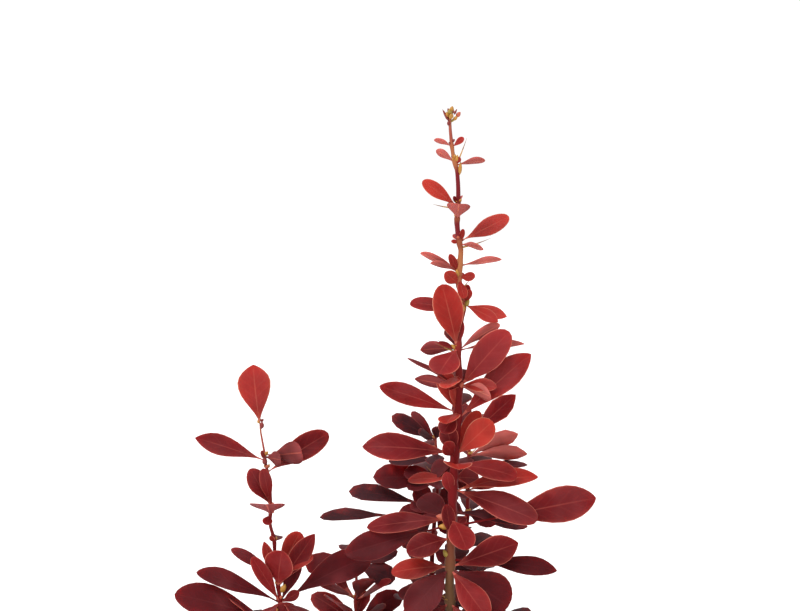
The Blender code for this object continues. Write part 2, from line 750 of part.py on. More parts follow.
def bud_centres(tip):
    """A tight spiral of buds round the tip of a shoot."""
    centres = []
    for k in range(BUDS):
        aside = polar(TURN * k, 0) * (BUD_SPREAD * (1 - k / (1.4 * BUDS)))
        centres.append(tip + aside + Vector((0, 0, BUD_STEP * (k - BUDS / 2))))
    return centres


def keep_main_body(bm):
    """Deletes every shell but the largest: loose scraps, and the walls of hollows sealed in by fusing."""
    left, shells = set(bm.verts), []
    while left:
        shell, front = set(), {left.pop()}
        while front:
            v = front.pop()
            shell.add(v)
            near = {e.other_vert(v) for e in v.link_edges} & left
            left -= near
            front |= near
        shells.append(shell)
    shells.sort(key=len)
    for shell in shells[:-1]:
        bmesh.ops.delete(bm, geom=list(shell), context="VERTS")


def fuse(base, group, paint, operation="UNION"):
    """Joins every object of a group to base by one Boolean, applies it and removes the group's objects."""
    modifier = base.modifiers.new("fuse", "BOOLEAN")
    modifier.operation = operation
    modifier.operand_type = "COLLECTION"
    modifier.collection = group
    modifier.solver = "EXACT"
    bpy.context.view_layer.update()
    fused = as_mesh(base, base.users_collection[0])
    for other in list(group.objects):
        bpy.data.objects.remove(other)
    bm = bmesh.new()
    bm.from_mesh(fused.data)
    keep_main_body(bm)
    bm.to_mesh(fused.data)
    bm.free()
    fused.data.materials.clear()
    fused.data.materials.append(paint)
    return fused


def new_group(name):
    group = bpy.data.collections.new(name)
    bpy.context.scene.collection.children.link(group)
    return group


def make_trunk(plant, pieces, bark):
    """A turned stool with root ridges, leaned and cut flat at the ground."""
    profile = [
        (CROWN_R * math.cos(math.radians(a)), CROWN_Z + CROWN_R * math.sin(math.radians(a)))
        for a in range(90, -46, -27)
    ]
    profile[0] = (0, profile[0][1])
    profile += [(WAIST_R, WAIST_Z), (0.86 * FLARE_R, 2 * FLARE_Z), (FLARE_R, BELOW), (0, BELOW)]
    mesh = bpy.data.meshes.new("trunk")
    mesh.from_pydata([(r, 0, z) for r, z in profile], [(i, i + 1) for i in range(len(profile) - 1)], [])
    trunk = add_mesh("trunk", mesh, plant)
    screw = trunk.modifiers.new("turn", "SCREW")
    screw.steps = screw.render_steps = TRUNK_SIDES
    screw.use_merge_vertices = True
    screw.merge_threshold = 1e-5
    trunk = weld(as_mesh(trunk, plant))
    for k in range(ROOTS):
        outward = polar(360 * (k + 0.4) / ROOTS, 0) * ROOT_REACH
        points = [outward * share + Vector((0, 0, z * MM)) for share, z, _ in ROOT_RIDGE]
        tube(f"root_{k}", Twig(points, [ROOT_R * r for _, _, r in ROOT_RIDGE]), pieces)
    trunk = fuse(trunk, pieces, bark)
    for v in trunk.data.vertices:
        v.co = leaned(v.co) if v.co.z > 0 else v.co
    bm = bmesh.new()
    bmesh.ops.create_cube(bm, size=1, matrix=Matrix.Translation((0, 0, -0.5)))
    ground = bpy.data.meshes.new("below_ground")
    bm.to_mesh(ground)
    bm.free()
    add_mesh("below_ground", ground, pieces)
    fuse(trunk, pieces, bark, "DIFFERENCE")


def make_mass(shoot, growth, plant, pieces, guides, red):
    """The upper stem of a shoot with its side twigs and leaves, as one solid."""
    stem = tube("foliage_" + shoot.name, growth.stem, plant, guides["stem"])
    for k, twig in enumerate(growth.twigs):
        tube(f"twig_{k}", twig, pieces, guides["twig"])
    for k, leaf in enumerate(growth.leaves):
        if leaf.rank < SOLID_RANKS and leaf.length >= LEAST_SOLID_LEAF:
            leaf_solid(f"leaf_{k}", leaf, pieces)
    if shoot.name == "main":
        for k, centre in enumerate(bud_centres(growth.stem.points[-1])):
            bud_solid(f"bud_{k}", centre, pieces)
    fuse(stem, pieces, red)


def main():
    for old in list(bpy.data.objects):
        bpy.data.objects.remove(old)
    plant, pieces, guides = new_group("barberry"), new_group("pieces"), new_group("guides")
    bark = material("bark", (0.17, 0.105, 0.07), 0.85)
    reds = {
        "bright": material("leaf_bright", (0.36, 0.045, 0.03), 0.5),
        "dark": material("leaf_dark", (0.12, 0.022, 0.022), 0.55),
    }
    sections = {
        "stem": section_guide("stem_section", 5, guides),
        "twig": section_guide("twig_section", 3, guides),
    }
    make_trunk(plant, pieces, bark)
    for shoot, growth in zip(SHOOTS, grow_all().values()):
        cane = tube("cane_" + shoot.name, growth.cane, plant)
        cane.data.shade_smooth()
        cane.data.materials.append(bark)
        red = reds["bright" if shoot.name in FRONT_SHOOTS else "dark"]
        make_mass(shoot, growth, plant, pieces, sections, red)


if __name__ == "__main__":
    main()
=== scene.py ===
"""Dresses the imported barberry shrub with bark, stems, leaves, spines and buds, and sets the studio round it.

The growth rule and its seeds are those of the solids, so each leaf here stands where a solid leaf does; the rule is
carried on to the shorter leaves of every whorl, the buds and the spines. Metres, +Z up, -Y towards the viewer. Places
and sizes in the tables are millimetres and degrees.
"""

import math
import random
from collections import namedtuple

import bpy
import numpy as np
from bpy.props import FloatProperty, FloatVectorProperty, IntProperty, PointerProperty
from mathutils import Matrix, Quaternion, Vector
from mathutils.bvhtree import BVHTree


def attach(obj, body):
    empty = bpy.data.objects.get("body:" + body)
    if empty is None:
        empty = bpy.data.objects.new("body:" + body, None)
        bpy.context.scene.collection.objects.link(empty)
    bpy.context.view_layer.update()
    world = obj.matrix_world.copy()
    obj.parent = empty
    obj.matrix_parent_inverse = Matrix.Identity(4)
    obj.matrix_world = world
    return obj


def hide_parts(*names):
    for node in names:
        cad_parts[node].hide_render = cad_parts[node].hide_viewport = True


bl_info = {
    "name": "Barberry Shrub",
    "version": (1, 0, 0),
    "blender": (4, 5, 0),
    "location": "3D View > Sidebar > Barberry",
    "description": "Bark, stems, leaves, buds and spines of a young red barberry, and its studio",
    "category": "Object",
}

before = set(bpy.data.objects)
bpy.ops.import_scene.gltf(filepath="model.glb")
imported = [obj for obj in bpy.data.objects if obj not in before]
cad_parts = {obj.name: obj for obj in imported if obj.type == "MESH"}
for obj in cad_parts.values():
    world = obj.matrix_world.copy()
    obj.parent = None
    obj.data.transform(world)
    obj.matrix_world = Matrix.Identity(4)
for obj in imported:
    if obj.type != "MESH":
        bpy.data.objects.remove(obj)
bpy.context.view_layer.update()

MM = 0.001
GAP = 0.3 * MM

# Trunk
CROWN_R = 9.5 * MM
CROWN_Z = 25.0 * MM
LEAN = 0.06  # sideways run for each unit of height
ROOTS = 5
# The trunk's outline as (height, radius), and how far its root ridges stand out as (height, reach)
TRUNK_OUTLINE = ((0, 11.4), (3, 11.2), (6, 10.0), (13, 8.0), (18, 8.6), (25, 9.5), (30, 8.1), (33, 5.2), (34.4, 1.0))
RIDGE_OUTLINE = ((0, 5.4), (3, 4.3), (9, 3.1), (15, 1.1), (20, 0.0), (34.4, 0.0))

# Canes and stems
CANE_LENGTH = 26.0 * MM
CANE_STEPS = 4
TAPER = 0.7
SIDE_TWIG_R = 0.5 * MM
SWAY, SWAY_LENGTH = 0.9 * MM, 72.0 * MM
FOOT_PULL, TIP_PULL = 0.45, 0.95
LINE_STEPS = 160
STEM_STEP = 16.0 * MM

# Whorls
TURN = 137.5
WHORL_TURN = 82.0
FIRST_WHORL, WHORL_STEP = 5.0 * MM, 14.5 * MM
WHORL_LEAVES = (4, 5, 5, 6)
YOUNG_RISE, OLD_RISE, RANK_RISE = 48.0, 14.0, 4.0
RANK_LOSS = 0.09
SIDE_TWIG_FROM, SIDE_TWIG_ODDS = 50.0 * MM, 0.6
SIDE_TWIG_LENGTHS = (18.0 * MM, 38.0 * MM)
SIDE_BUDS = ((1, 0.65), (2, 0.6))

# Leaves
WIDTH_SHARE = 0.44
BLADE_THICK = 0.6 * MM
ROOT_SPREAD = (0.25 * MM, 1.0 * MM)
REACH = 62.0 * MM
LEAF_CLEAR = 0.5 * MM
GROUND_CLEAR = 10.0 * MM

Shoot = namedtuple("Shoot", "name facing rise tip lean foot_r tip_r leaf young seed")
SHOOTS = (
    Shoot("main", 20, 72, (20, 0, 416.3), (0.0, 0.0), 2.6, 0.5, 28, 0, 3),
    Shoot("left", 184, 50, (-53.3, -4, 299), (-0.2, 0.0), 1.6, 0.3, 28, 60, 5),
    Shoot("back_right", 62, 55, (29, 42, 295), (0.1, 0.05), 2.1, 0.4, 29, 70, 7),
    Shoot("back_left", 118, 58, (14, 45, 292), (-0.05, 0.05), 2.1, 0.4, 29, 70, 11),
    Shoot("rear_left", 148, 34, (-18, 36, 244), (-0.1, 0.1), 1.9, 0.4, 29, 70, 13),
    Shoot("far_left", 168, 14, (-82, 20, 188), (-0.2, 0.0), 1.8, 0.4, 27, 55, 18),
    Shoot("front_left", 224, 22, (-46, -48, 184), (-0.15, -0.15), 1.8, 0.4, 26, 55, 19),
    Shoot("front", 278, 30, (6, -56, 180), (0.0, -0.2), 1.8, 0.4, 26, 55, 23),
    Shoot("front_right", 322, 20, (62, -40, 188), (0.15, -0.15), 1.8, 0.4, 27, 55, 29),
    Shoot("right", 6, 22, (86, 14, 196), (0.2, 0.0), 1.8, 0.4, 27, 55, 32),
    Shoot("rear_right", 38, 14, (64, 62, 206), (0.15, 0.15), 1.8, 0.4, 27, 55, 37),
    Shoot("rear", 90, 18, (0, 88, 210), (0.0, 0.2), 1.8, 0.4, 27, 55, 41),
)

# The middle of the two front stems as (height, distance to the right), bent a little at every node
BENDS = {
    "main": (
        (412, 19.0), (405.5, 19.6), (399, 20.5), (396, 21.7), (389, 22.2), (382.5, 22.2), (375.5, 21.7),
        (369, 22.4), (365, 23.4), (360, 22.9), (354, 22.2), (346, 23.9), (343, 24.1), (336, 22.8),
        (327, 22.0), (313, 22.8), (303, 22.2), (286, 20.9), (270, 20.1), (255, 19.6), (240, 19.0),
    ),
    "left": (
        (296.5, -53.1), (289, -51.7), (283, -50.9), (277.5, -49.4), (268, -49.2),
        (260.5, -49.6), (255, -47.9), (245, -47.7), (236, -46.4), (230, -45.6),
    ),
}
BEND_FROM = 50.0  # how far below the lowest of these places the stem begins to follow them
FRONT_SHOOTS = ("main", "left")

# The uppermost whorls of the shoots that show: the height of each, then its leaves as
# (tip to the right of the stem, towards the viewer, above the node, width, how far its face turns from the
# sky to the front, the length of its spur if it has one, how pointed it is if that is known)
WHORLS = {
    "main": (
        (405, ((-6.8, 1, 2.1, 3.0, -40), (4.6, 1, 2.9, 2.6, 60))),
        (399, ((-6.9, 1, 4.2, 4.0, -40),)),
        (398.2, ((1.9, 0.8, 2.3, 2.2, 90), (11.6, 1, 1, 4.2, -40))),
        (
            382.5,
            (
                (-13.7, 1.5, 9, 5.8, 80, 0, 0.5),
                (-1.8, 1.5, 3.2, 1.8, 90),
                (-4, 1, 1, 1.0, 60),
                (0.4, -10, 3, 4.0, 10),
            ),
        ),
        (376.8, ((0.4, 7.4, 5.9, 9.2, 8, 0, 0.5),)),
        (
            368.3,
            (
                (19, 2, 9.6, 7.0, 85, 2, 0.5),
                (1.5, 1, 4.9, 2.2, 90),
                (9, 6, -2.7, 4.8, -40),
                (-3.2, 1, 0.2, 1.8, 80),
                (-0.6, -11, 3, 4.4, 10),
            ),
        ),
        (359.5, ((16, 1, 2, 5.4, -35),)),
        (357.2, ((-15, -1, 6.8, 5.0, -30), (-11.2, 3, 3.1, 4.2, -40), (-3.7, 2, 6.5, 3.2, 90))),
        (355.5, ((6.2, 4, -0.6, 4.2, 60), (2, 4, -8.8, 4.0, 70))),
        (352.3, ((-5.6, 4, 4.4, 5.4, 80), (0, -10, 4, 4.6, 45))),
        (345, ((13.6, 3, -7.3, 5.3, 70, 0, 0.9), (17, -2, -5.4, 5.4, 70, 0, 0.85))),
        (344, ((2.9, 1, 6.1, 3.0, 90), (1.9, -1, 8, 3.4, 90), (-1, -13, 4, 6.0, 45))),
        (342.5, ((-20.3, -4, 2.3, 6.5, 60),)),
        (
            327.5,
            (
                (-6.2, 4, 25, 11.7, 90),
                (1.5, 2, 11, 3.2, 60),
                (16.2, 0, 9.3, 6.0, -50, 0, 0.5),
                (26.1, -5, 1.5, 6.5, -35, 0, 0.9),
                (-14.5, -1, -0.6, 8.0, -60, 0, 0.9),
                (-7.5, 2, 2.5, 2.5, 60),
                (-2, -15, 8, 7.5, 45),
            ),
        ),
        (328.5, ((-7.5, 12, -10, 12.4, 0, 0, 0.45),)),
        (318, ((-5, 13, -4.8, 9.0, 0),)),
        (
            313.5,
            (
                (19, 5, 21, 12.6, 64, 0, 0.5),
                (-20.1, 2, 10.5, 4.5, 30),
                (-17.3, -1, 2.4, 7.5, -50, 0, 0.8),
                (14, 9, -0.2, 6.0, 60),
                (11.6, 12, -3.6, 7.4, -65, 0, 0.6),
                (-3.6, 6, -1.5, 4.0, 0),
                (4, -8, 5, 7.0, 60),
                (-3, -17, 5, 9.0, 45),
            ),
        ),
        (
            303.5,
            (
                (-30.2, 3, 9.9, 8.5, 60, 0, 0.7),
                (-4.8, 13, -3.8, 9.0, 0),
                (-6, 6, -8, 7.5, 60),
                (-6, -2, 16, 8.0, 90),
                (-2, 1, 11, 4.5, 90),
                (1, -19, 6, 10.0, 45),
            ),
        ),
        (301, ((28.1, 4, 25, 11.8, 60, 0, 0.8),)),
        (287.3, ((-35.8, 4, 2.9, 12.0, 70, 0, 0.85),)),
        (
            286.5,
            (
                (14.4, 3, 13.4, 10.5, 85, 0, 0.5),
                (9.5, -2, 17, 7.0, 80),
                (-3.5, 3, 12, 7.5, 90),
                (-4.2, 7, 5.5, 6.0, 80),
            ),
        ),
        (283.5, ((1.5, 17, -0.8, 11.4, 0), (24, 6, -4.9, 10.0, 55, 0, 0.45), (-9, -6, -4, 8.0, 60))),
        (278.5, ((-17.6, -3, -2, 6.5, 45), (10, -5, -1.5, 9.5, 60))),
        (274, ((32, 8, -11.8, 12.0, 60, 0, 0.45),)),
        (273, ((33.3, -3, 4.9, 10.0, 50, 0, 0.8),)),
        (270.5, ((-2.6, 2, 10, 5.0, 90),)),
        (265, ((27.6, -6, -4.5, 7.0, 60),)),
        (
            262.5,
            (
                (-32.6, 3, -3.5, 9.5, 50),
                (5.4, 16, -10.6, 10.4, 0, 0, 0.5),
                (-12, -16, 6, 10.0, 45),
            ),
        ),
        (260, ((-41, 4, -11, 12.0, 60, 9, 0.7),)),
        (259, ((56, 0, 11.2, 14.2, 85, 18, 0.75),)),
        (255, ((-17.3, 8, -5, 10.5, 60), (-2, 2, 13, 5.5, 90), (6, -17, 2, 8.0, 45))),
        (246.5, ((41.2, 0, -4.4, 9.0, 60, 9, 0.8),)),
        (244.2, ((26.2, 5, 9.4, 11.6, 85, 0, 0.85),)),
        (
            244,
            (
                (-22.8, 5, -2, 9.0, 55),
                (-16.3, 12, -17, 13.0, 60),
                (22.4, 6, -15, 17.5, 78),
                (14, 16, -18, 11.0, 60),
                (4, -19, 6, 10.0, 45),
            ),
        ),
        (
            231,
            (
                (-20, -8, 2, 9.0, 45),
                (20, -10, 2, 9.0, 45),
                (3, -20, 3, 10.0, 45),
                (-14, 12, -12, 10.0, 40),
                (10, 15, -14, 10.0, 40),
            ),
        ),
    ),
    "left": (
        (299, ((-2.6, 2, 23.1, 13.2, 90, 0, 0.85),)),
        (
            287,
            (
                (14.8, 13, 2.3, 9.2, -80, 0, 0.5),
                (6.5, 8, -0.9, 6.0, -80, 0, 0.5),
                (-1.5, 4, 1.5, 3.0, 60),
                (3, -14, -2, 6.0, 10),
            ),
        ),
        (286, ((-26.6, 2, 8, 8.8, 62, 0, 0.9),)),
        (281.5, ((23.6, -1, 14.2, 10.0, 70),)),
        (268, ((-7.8, 2, 14.2, 8.0, 85), (-2.8, 3, 14.5, 5.0, 90))),
        (264.8, ((-1.2, 12, 5, 13.8, 0, 0, 0.5), (-1.5, 3, -4, 4.0, 60))),
        (254, ((-1.5, 2, 2.5, 2.0, 80), (0.5, -12, 1, 5.0, 10))),
        (
            242,
            (
                (-4.6, 2, 12.5, 4.5, 85, 0, 0.9),
                (9.2, -3, 15.5, 8.0, 80),
                (14.3, 3, 6.6, 4.5, 60),
                (-17.2, 1, 9.3, 5.0, 50),
            ),
        ),
        (237, ((2, 7, 14.5, 12.5, 90), (14.2, 2, 20.4, 8.0, 60, 0, 0.9), (2, -17, 5, 9.0, 45))),
        (
            231,
            (
                (-32, 2, 11.6, 9.5, 50),
                (-10.5, 6, 18, 6.0, 80),
                (34.5, -14, 15.6, 13.8, 60, 4),
                (7.5, 3, 4, 4.5, 60),
                (7.3, -2, 16, 6.0, 80),
                (-8, 16, -6, 9.0, 10),
                (12, 14, -5, 9.0, 10),
            ),
        ),
        (223, ((-40.5, 4, 11.5, 14.0, 75, 5),)),
    ),
    "back_right": (
        (292, ((17.4, 2, 15.3, 9.0, 80, 0, 0.95), (-6, -8, 12, 8.0, 60), (3, -16, 6, 9.0, 45))),
        (
            283,
            (
                (19.8, 4, 9, 8.0, -70, 0, 0.95),
                (23.6, 2, 0.6, 8.0, -60, 0, 0.95),
                (-3, 10, -3.5, 8.0, 10),
                (-4, -17, 4, 9.0, 45),
            ),
        ),
        (277.5, ((24, 0, 1.6, 7.0, 30), (8, -17, 4, 9.0, 45), (-1.5, 12, -4.5, 11.0, 10))),
        (270, ((-1, 12, -3, 9.0, 10), (13, 2, 2, 4.5, 50), (-4.5, 4, 4.5, 6.0, 70))),
        (
            260,
            (
                (24, 2, -5.2, 8.0, 60),
                (11, 6, -4, 8.0, 40),
                (-5, 5, -4.5, 6.5, 40),
                (-10, -15, 2, 8.0, 60),
                (2, -20, 4, 9.0, 45),
            ),
        ),
        (246, ((12, -16, 3, 9.0, 45), (-4, -19, 4, 9.0, 45))),
        (234, ((10, -17, 4, 9.0, 45), (-9, -16, 3, 9.0, 60), (15, -6, -5, 8.0, 50))),
    ),
    "back_left": (
        (
            289.5,
            (
                (-17.6, 3, 9.2, 7.0, 70),
                (-9.6, -4, 10.4, 4.5, 80),
                (-7, 8, 2.6, 6.0, 60),
                (1.5, 3, 5, 5.5, 80),
                (9, -14, 6, 9.0, 45),
            ),
        ),
        (284, ((-1, 10, -4.5, 8.0, 10),)),
        (281.5, ((-19.6, 4, -1.1, 9.0, 60), (-6, -16, 5, 9.0, 45))),
        (
            273.5,
            (
                (-26, 4, 0.7, 12.0, 75),
                (0, 12, -3, 9.5, 10),
                (-12, 8, -4, 9.0, 30),
                (-8, -19, 4, 9.0, 45),
                (10, -10, 4, 8.0, 60),
                (-14, 6, 2, 9.0, 60),
            ),
        ),
        (
            262,
            (
                (-35, 2, 6.5, 9.5, 45, 6),
                (0, 13, -4, 10.0, 0),
                (-15, 6, -3, 8.0, 60),
                (4, -19, 5, 9.0, 45),
                (-10, 8, 0, 8.0, 50),
                (-9, 6, 8, 9.0, 60),
                (8, 4, 8, 8.0, 70),
            ),
        ),
        (
            259.2,
            (
                (-46.2, 0, -1.4, 7.6, 42, 18),
                (-13, 4, -13, 8.0, 60),
                (7.5, 5, -7, 8.0, 60),
                (9, -17, 4, 9.0, 45),
            ),
        ),
        (246, ((-8, 12, -3, 10.0, 10), (8, 6, -5.5, 9.0, 40), (-2, -18, 4, 9.0, 45))),
        (236, ((-6, 14, -3, 10.0, 10), (12, 6, -2, 9.0, 40), (-10, -14, 3, 9.0, 45))),
    ),
    "rear_left": (
        (
            241,
            (
                (-20, 2, -1, 10.0, 75),
                (3, -4, 6, 6.0, 70),
                (17, 2, 4.6, 6.5, 65),
                (16, 3, -6.6, 9.6, 70),
                (-4, -16, 5, 9.0, 45),
            ),
        ),
    ),
}

# The tint of each leaf above, whorl by whorl: 0 coral, 1 red, 2 crimson, 3 burgundy, 4 maroon, 5 plum.
# Besides age the tints hold painted light and shade: a paler tint on some leaves that lie in shadow, and the
# dark maroon and plum of the shoots behind partly a painted shade.
DRAWN_TINTS = {
    "main": (
        ("11", "1", "10", "0331", "0", "01011", "1", "101", "11", "02", "10", "122", "2", "1201233", "2", "0")
        + ("23211233", "213103", "2", "3", "0032", "124", "03", "3", "1", "2", "5", "324", "4", "3", "334", "4")
        + ("3", "14424", "44333")
    ),
    "left": ("1", "2213", "3", "3", "32", "32", "13", "1114", "233", "4243433", "4"),
    "back_right": ("344", "1144", "544", "523", "54344", "44", "444"),
    "back_left": ("54554", "5", "54", "444444", "5444444", "5544", "444", "444"),
    "rear_left": ("45554",),
}

# Spines that show on the front shoot, as (height, facing, rise, length)
FRONT_SPINES = (
    (397, 350, 66, 11.0),
    (381, 185, 3, 10.0),
    (366, 345, 11, 12.5),
    (350, 10, 40, 5.0),
    (326, 195, 17, 10.0),
    (327.5, 188, 18, 9.5),
    (329, 100, 79, 4.0),
)

Leaf = namedtuple("Leaf", "root chord up length width arch fold widest point rank tint")
Twig = namedtuple("Twig", "points radii")
Growth = namedtuple("Growth", "line cane stem twigs leaves nodes")
Bud = namedtuple("Bud", "place bearing")
Node = namedtuple("Node", "bud facing from_tip")


def linear(red, green, blue):
    """A display colour of 0 to 255 as linear light."""
    shares = np.array((red, green, blue)) / 255
    return tuple(np.where(shares <= 0.04045, shares / 12.92, ((shares + 0.055) / 1.055) ** 2.4).tolist())


def polar(facing, rise):
    """The unit vector with that facing and rise, in degrees."""
    f, r = math.radians(facing), math.radians(rise)
    return Vector((math.cos(f) * math.cos(r), math.sin(f) * math.cos(r), math.sin(r)))


def leaned(point):
    """The point carried along with the trunk's lean."""
    return Vector((point.x + LEAN * point.z, point.y, point.z))


def smooth(x):
    """0 below 0, 1 above 1, and an even S between."""
    x = min(max(x, 0.0), 1.0)
    return x * x * (3 - 2 * x)


def between(pairs, height):
    """Straight interpolation in pairs of (height, value) that go downwards."""
    for (high, a), (low, b) in zip(pairs, pairs[1:]):
        if height >= low:
            return a + (b - a) * min(max((high - height) / (high - low), 0.0), 1.0)
    return pairs[-1][1]


# The growth rule

def stem_line(shoot):
    """Points and lengths along the whole stem: a Hermite curve from foot to tip, with a slight sway."""
    centre = Vector((0, 0, CROWN_Z))
    foot = leaned(centre + polar(shoot.facing, shoot.rise) * (CROWN_R + GAP))
    bearing = (foot - leaned(centre)).normalized()
    tip = Vector(shoot.tip) * MM
    span = (tip - foot).length
    end = Vector((*shoot.lean, 1)).normalized()
    points = []
    for i in range(LINE_STEPS + 1):
        t = i / LINE_STEPS
        points.append(
            foot * (2 * t**3 - 3 * t**2 + 1)
            + bearing * (span * FOOT_PULL * (t**3 - 2 * t**2 + t))
            + tip * (3 * t**2 - 2 * t**3)
            + end * (span * TIP_PULL * (t**3 - t**2))
        )
    lengths = [0.0]
    for a, b in zip(points, points[1:]):
        lengths.append(lengths[-1] + (b - a).length)
    total = lengths[-1]
    for i, s in enumerate(lengths):
        swing = SWAY * smooth(s / CANE_LENGTH - 1) * smooth((total - s) / (20 * MM))
        angle = 2 * math.pi * s / SWAY_LENGTH + shoot.seed
        points[i] = points[i] + Vector((math.sin(angle), math.cos(0.8 * angle), 0)) * swing
    bends = BENDS.get(shoot.name)
    if bends:
        for point in points:
            share = smooth((point.z / MM - bends[-1][0]) / BEND_FROM + 1)
            point.x += (between(bends, point.z / MM) * MM - point.x) * share
    return points, lengths


def along(line, s):
    """The place and the bearing of a line at length s."""
    points, lengths = line
    s = min(max(s, 0.0), lengths[-1])
    i = next(k for k in range(1, len(lengths)) if lengths[k] >= s - 1e-12)
    share = (s - lengths[i - 1]) / (lengths[i] - lengths[i - 1])
    bearing = (points[i] - points[i - 1]).normalized()
    return Bud(points[i - 1].lerp(points[i], share), bearing)


def length_at(line, height):
    """The length along a line at which it reaches a height."""
    for (low, start), (high, end) in zip(zip(*line), list(zip(*line))[1:]):
        if high.z >= height:
            return start + (end - start) * (height - low.z) / (high.z - low.z)
    return line[1][-1]


def stem_radius(shoot, left):
    """Thickest at the foot and slender at the tip, for the share of the stem that is left above."""
    return (shoot.tip_r + (shoot.foot_r - shoot.tip_r) * left**TAPER) * MM


def stretch(shoot, line, start, end, steps):
    """The stretch of a stem between two lengths, as a twig."""
    stations = [start + (end - start) * i / steps for i in range(steps + 1)]
    radii = [stem_radius(shoot, max(1 - s / line[1][-1], 0.0)) for s in stations]
    return Twig([along(line, s).place for s in stations], radii)


def leaf_length(shoot, from_tip):
    """Short on young growth, longest a hand's breadth down, shorter again on old wood."""
    s = from_tip / MM + shoot.young
    return shoot.leaf * MM * (0.2 + 0.8 * smooth(s / 105)) * (1 - 0.2 * smooth((s - 170) / 140))


def make_leaf(rng, bud, reach, width, turn, front, rank=0, tint=None):
    """One leaf of a bud, whose tip lies at reach, with its face turned from the sky towards front."""
    roll, drop = rng.gauss(0, 7), rng.uniform(*ROOT_SPREAD)
    reach = reach + bud.bearing * drop
    chord = reach.normalized()
    t = math.radians(turn)
    light = Vector((0, 0, 1)) * math.cos(t) + front * math.sin(t)
    up = (light - chord * light.dot(chord)).normalized()
    up.rotate(Quaternion(chord, math.radians(roll)))
    return Leaf(
        root=bud.place - bud.bearing * drop,
        chord=chord,
        up=up,
        length=reach.length,
        width=width,
        arch=math.radians(rng.uniform(6, 34)),
        fold=math.radians(rng.uniform(4, 13)),
        widest=rng.uniform(0.61, 0.72),
        point=rng.uniform(0.45, 0.65),
        rank=rank,
        tint=tint,
    )


def blade_point(leaf, v, across, below=0.0, grow=0.0):
    """A point of a leaf: v from its root to its tip, across from edge to edge, and below its face.

    The midrib is an arc that turns by leaf.arch, and the two halves rise from it by leaf.fold.
    """
    start = leaf.arch / 2
    side = leaf.chord.cross(leaf.up)
    ahead = leaf.chord * math.cos(start) + leaf.up * math.sin(start)
    face = leaf.up * math.cos(start) - leaf.chord * math.sin(start)
    angle = leaf.arch * v
    rib = ahead * (math.sin(angle) / leaf.arch) - face * ((1 - math.cos(angle)) / leaf.arch)
    normal = face * math.cos(angle) + ahead * math.sin(angle)
    half = across * (leaf.width / 2 * outline(v, leaf) + grow)
    rise = abs(half) * math.sin(leaf.fold) - below
    return leaf.root + rib * (leaf.length + grow) + side * (half * math.cos(leaf.fold)) + normal * rise


def keel_point(leaf, grow=0.0):
    """The lowest point of the back, under the midrib."""
    return blade_point(leaf, KEEL, 0, BLADE_THICK / 2 + grow, grow)


def outline(v, leaf):
    """Half width of a spoon-shaped blade as a share of its widest, for one place along it."""
    return float(outlines(np.array(v), leaf.widest, leaf.point))


def outlines(v, widest, point):
    """Half width of spoon-shaped blades as a share of their widest.

    From the root it rises as a raised cosine; beyond the widest place it closes as
    1 - u**2 to the power point, where u runs from 0 there to 1 at the tip.
    """
    rising = 0.5 - 0.5 * np.cos(np.pi * np.clip(v / widest, 0, 1))
    u = np.clip((v - widest) / (1 - widest), 0, 1)
    return np.where(v < widest, rising, (1 - u * u) ** point)


# Corners of a solid leaf's rim as (from root to tip, from edge to edge), and how far along its keel is deepest
RIM = ((1.0, 0), (0.78, 1), (0.44, 1), (0.0, 0), (0.44, -1), (0.78, -1))
KEEL = 0.62


def leaf_hull(leaf, grow=0.0):
    """Corners and faces of a leaf's solid, grown by a clearance."""
    points = [blade_point(leaf, v, across, 0, grow) for v, across in RIM] + [keel_point(leaf, grow)]
    faces = [(0, 1, 5), (1, 2, 4), (1, 4, 5), (2, 3, 4)] + [((k + 1) % 6, k, 6) for k in range(6)]
    return points, faces


def twig_hull(twig, grow=0.0):
    """Corners and faces of a three-sided twig, a little larger than life."""
    points, faces = [], []
    for i, p in enumerate(twig.points):
        ahead = (twig.points[min(i + 1, len(twig.points) - 1)] - twig.points[max(i - 1, 0)]).normalized()
        side = ahead.orthogonal().normalized()
        for k in range(3):
            arm = side.copy()
            arm.rotate(Quaternion(ahead, 2 * math.pi * k / 3))
            points.append(p + arm * (1.6 * twig.radii[i] + grow))
        if i:
            a = 3 * i - 3
            faces += [(a + k, a + (k + 1) % 3, a + 3 + (k + 1) % 3, a + 3 + k) for k in range(3)]
    return points, faces


class Space:
    """What each shoot has filled so far, so that the next keeps clear of it."""

    def __init__(self, fixed):
        self.trees = {name: [BVHTree.FromPolygons(*hull)] for name, hull in fixed.items()}

    def free(self, name, hull):
        """Whether a hull touches nothing of any other shoot and stands above the ground."""
        if min(p.z for p in hull[0]) < GROUND_CLEAR:
            return False
        tree = BVHTree.FromPolygons(*hull)
        return not any(
            tree.overlap(other)
            for owner, trees in self.trees.items()
            if owner != name
            for other in trees
        )

    def fill(self, name, hulls):
        self.trees.setdefault(name, []).extend(BVHTree.FromPolygons(*hull) for hull in hulls)


def whorl(rng, shoot, bud, facing, from_tip, front, share=1.0, count=None):
    """The leaves of one bud, set round the stem, each a little shorter than the one before."""
    longest = leaf_length(shoot, from_tip) * share
    age = smooth((from_tip / MM + shoot.young) / 140)
    leaves = []
    for k in range(count or rng.choice(WHORL_LEAVES)):
        chord = polar(
            facing + TURN * k + rng.gauss(0, 10),
            YOUNG_RISE + (OLD_RISE - YOUNG_RISE) * age + RANK_RISE * k + rng.gauss(0, 10),
        )
        length = longest * (1 - RANK_LOSS * k) * rng.uniform(0.85, 1.08)
        width = length * WIDTH_SHARE * rng.uniform(0.9, 1.12)
        leaves.append(make_leaf(rng, bud, chord * length, width, rng.gauss(30, 18), front, k))
    return leaves


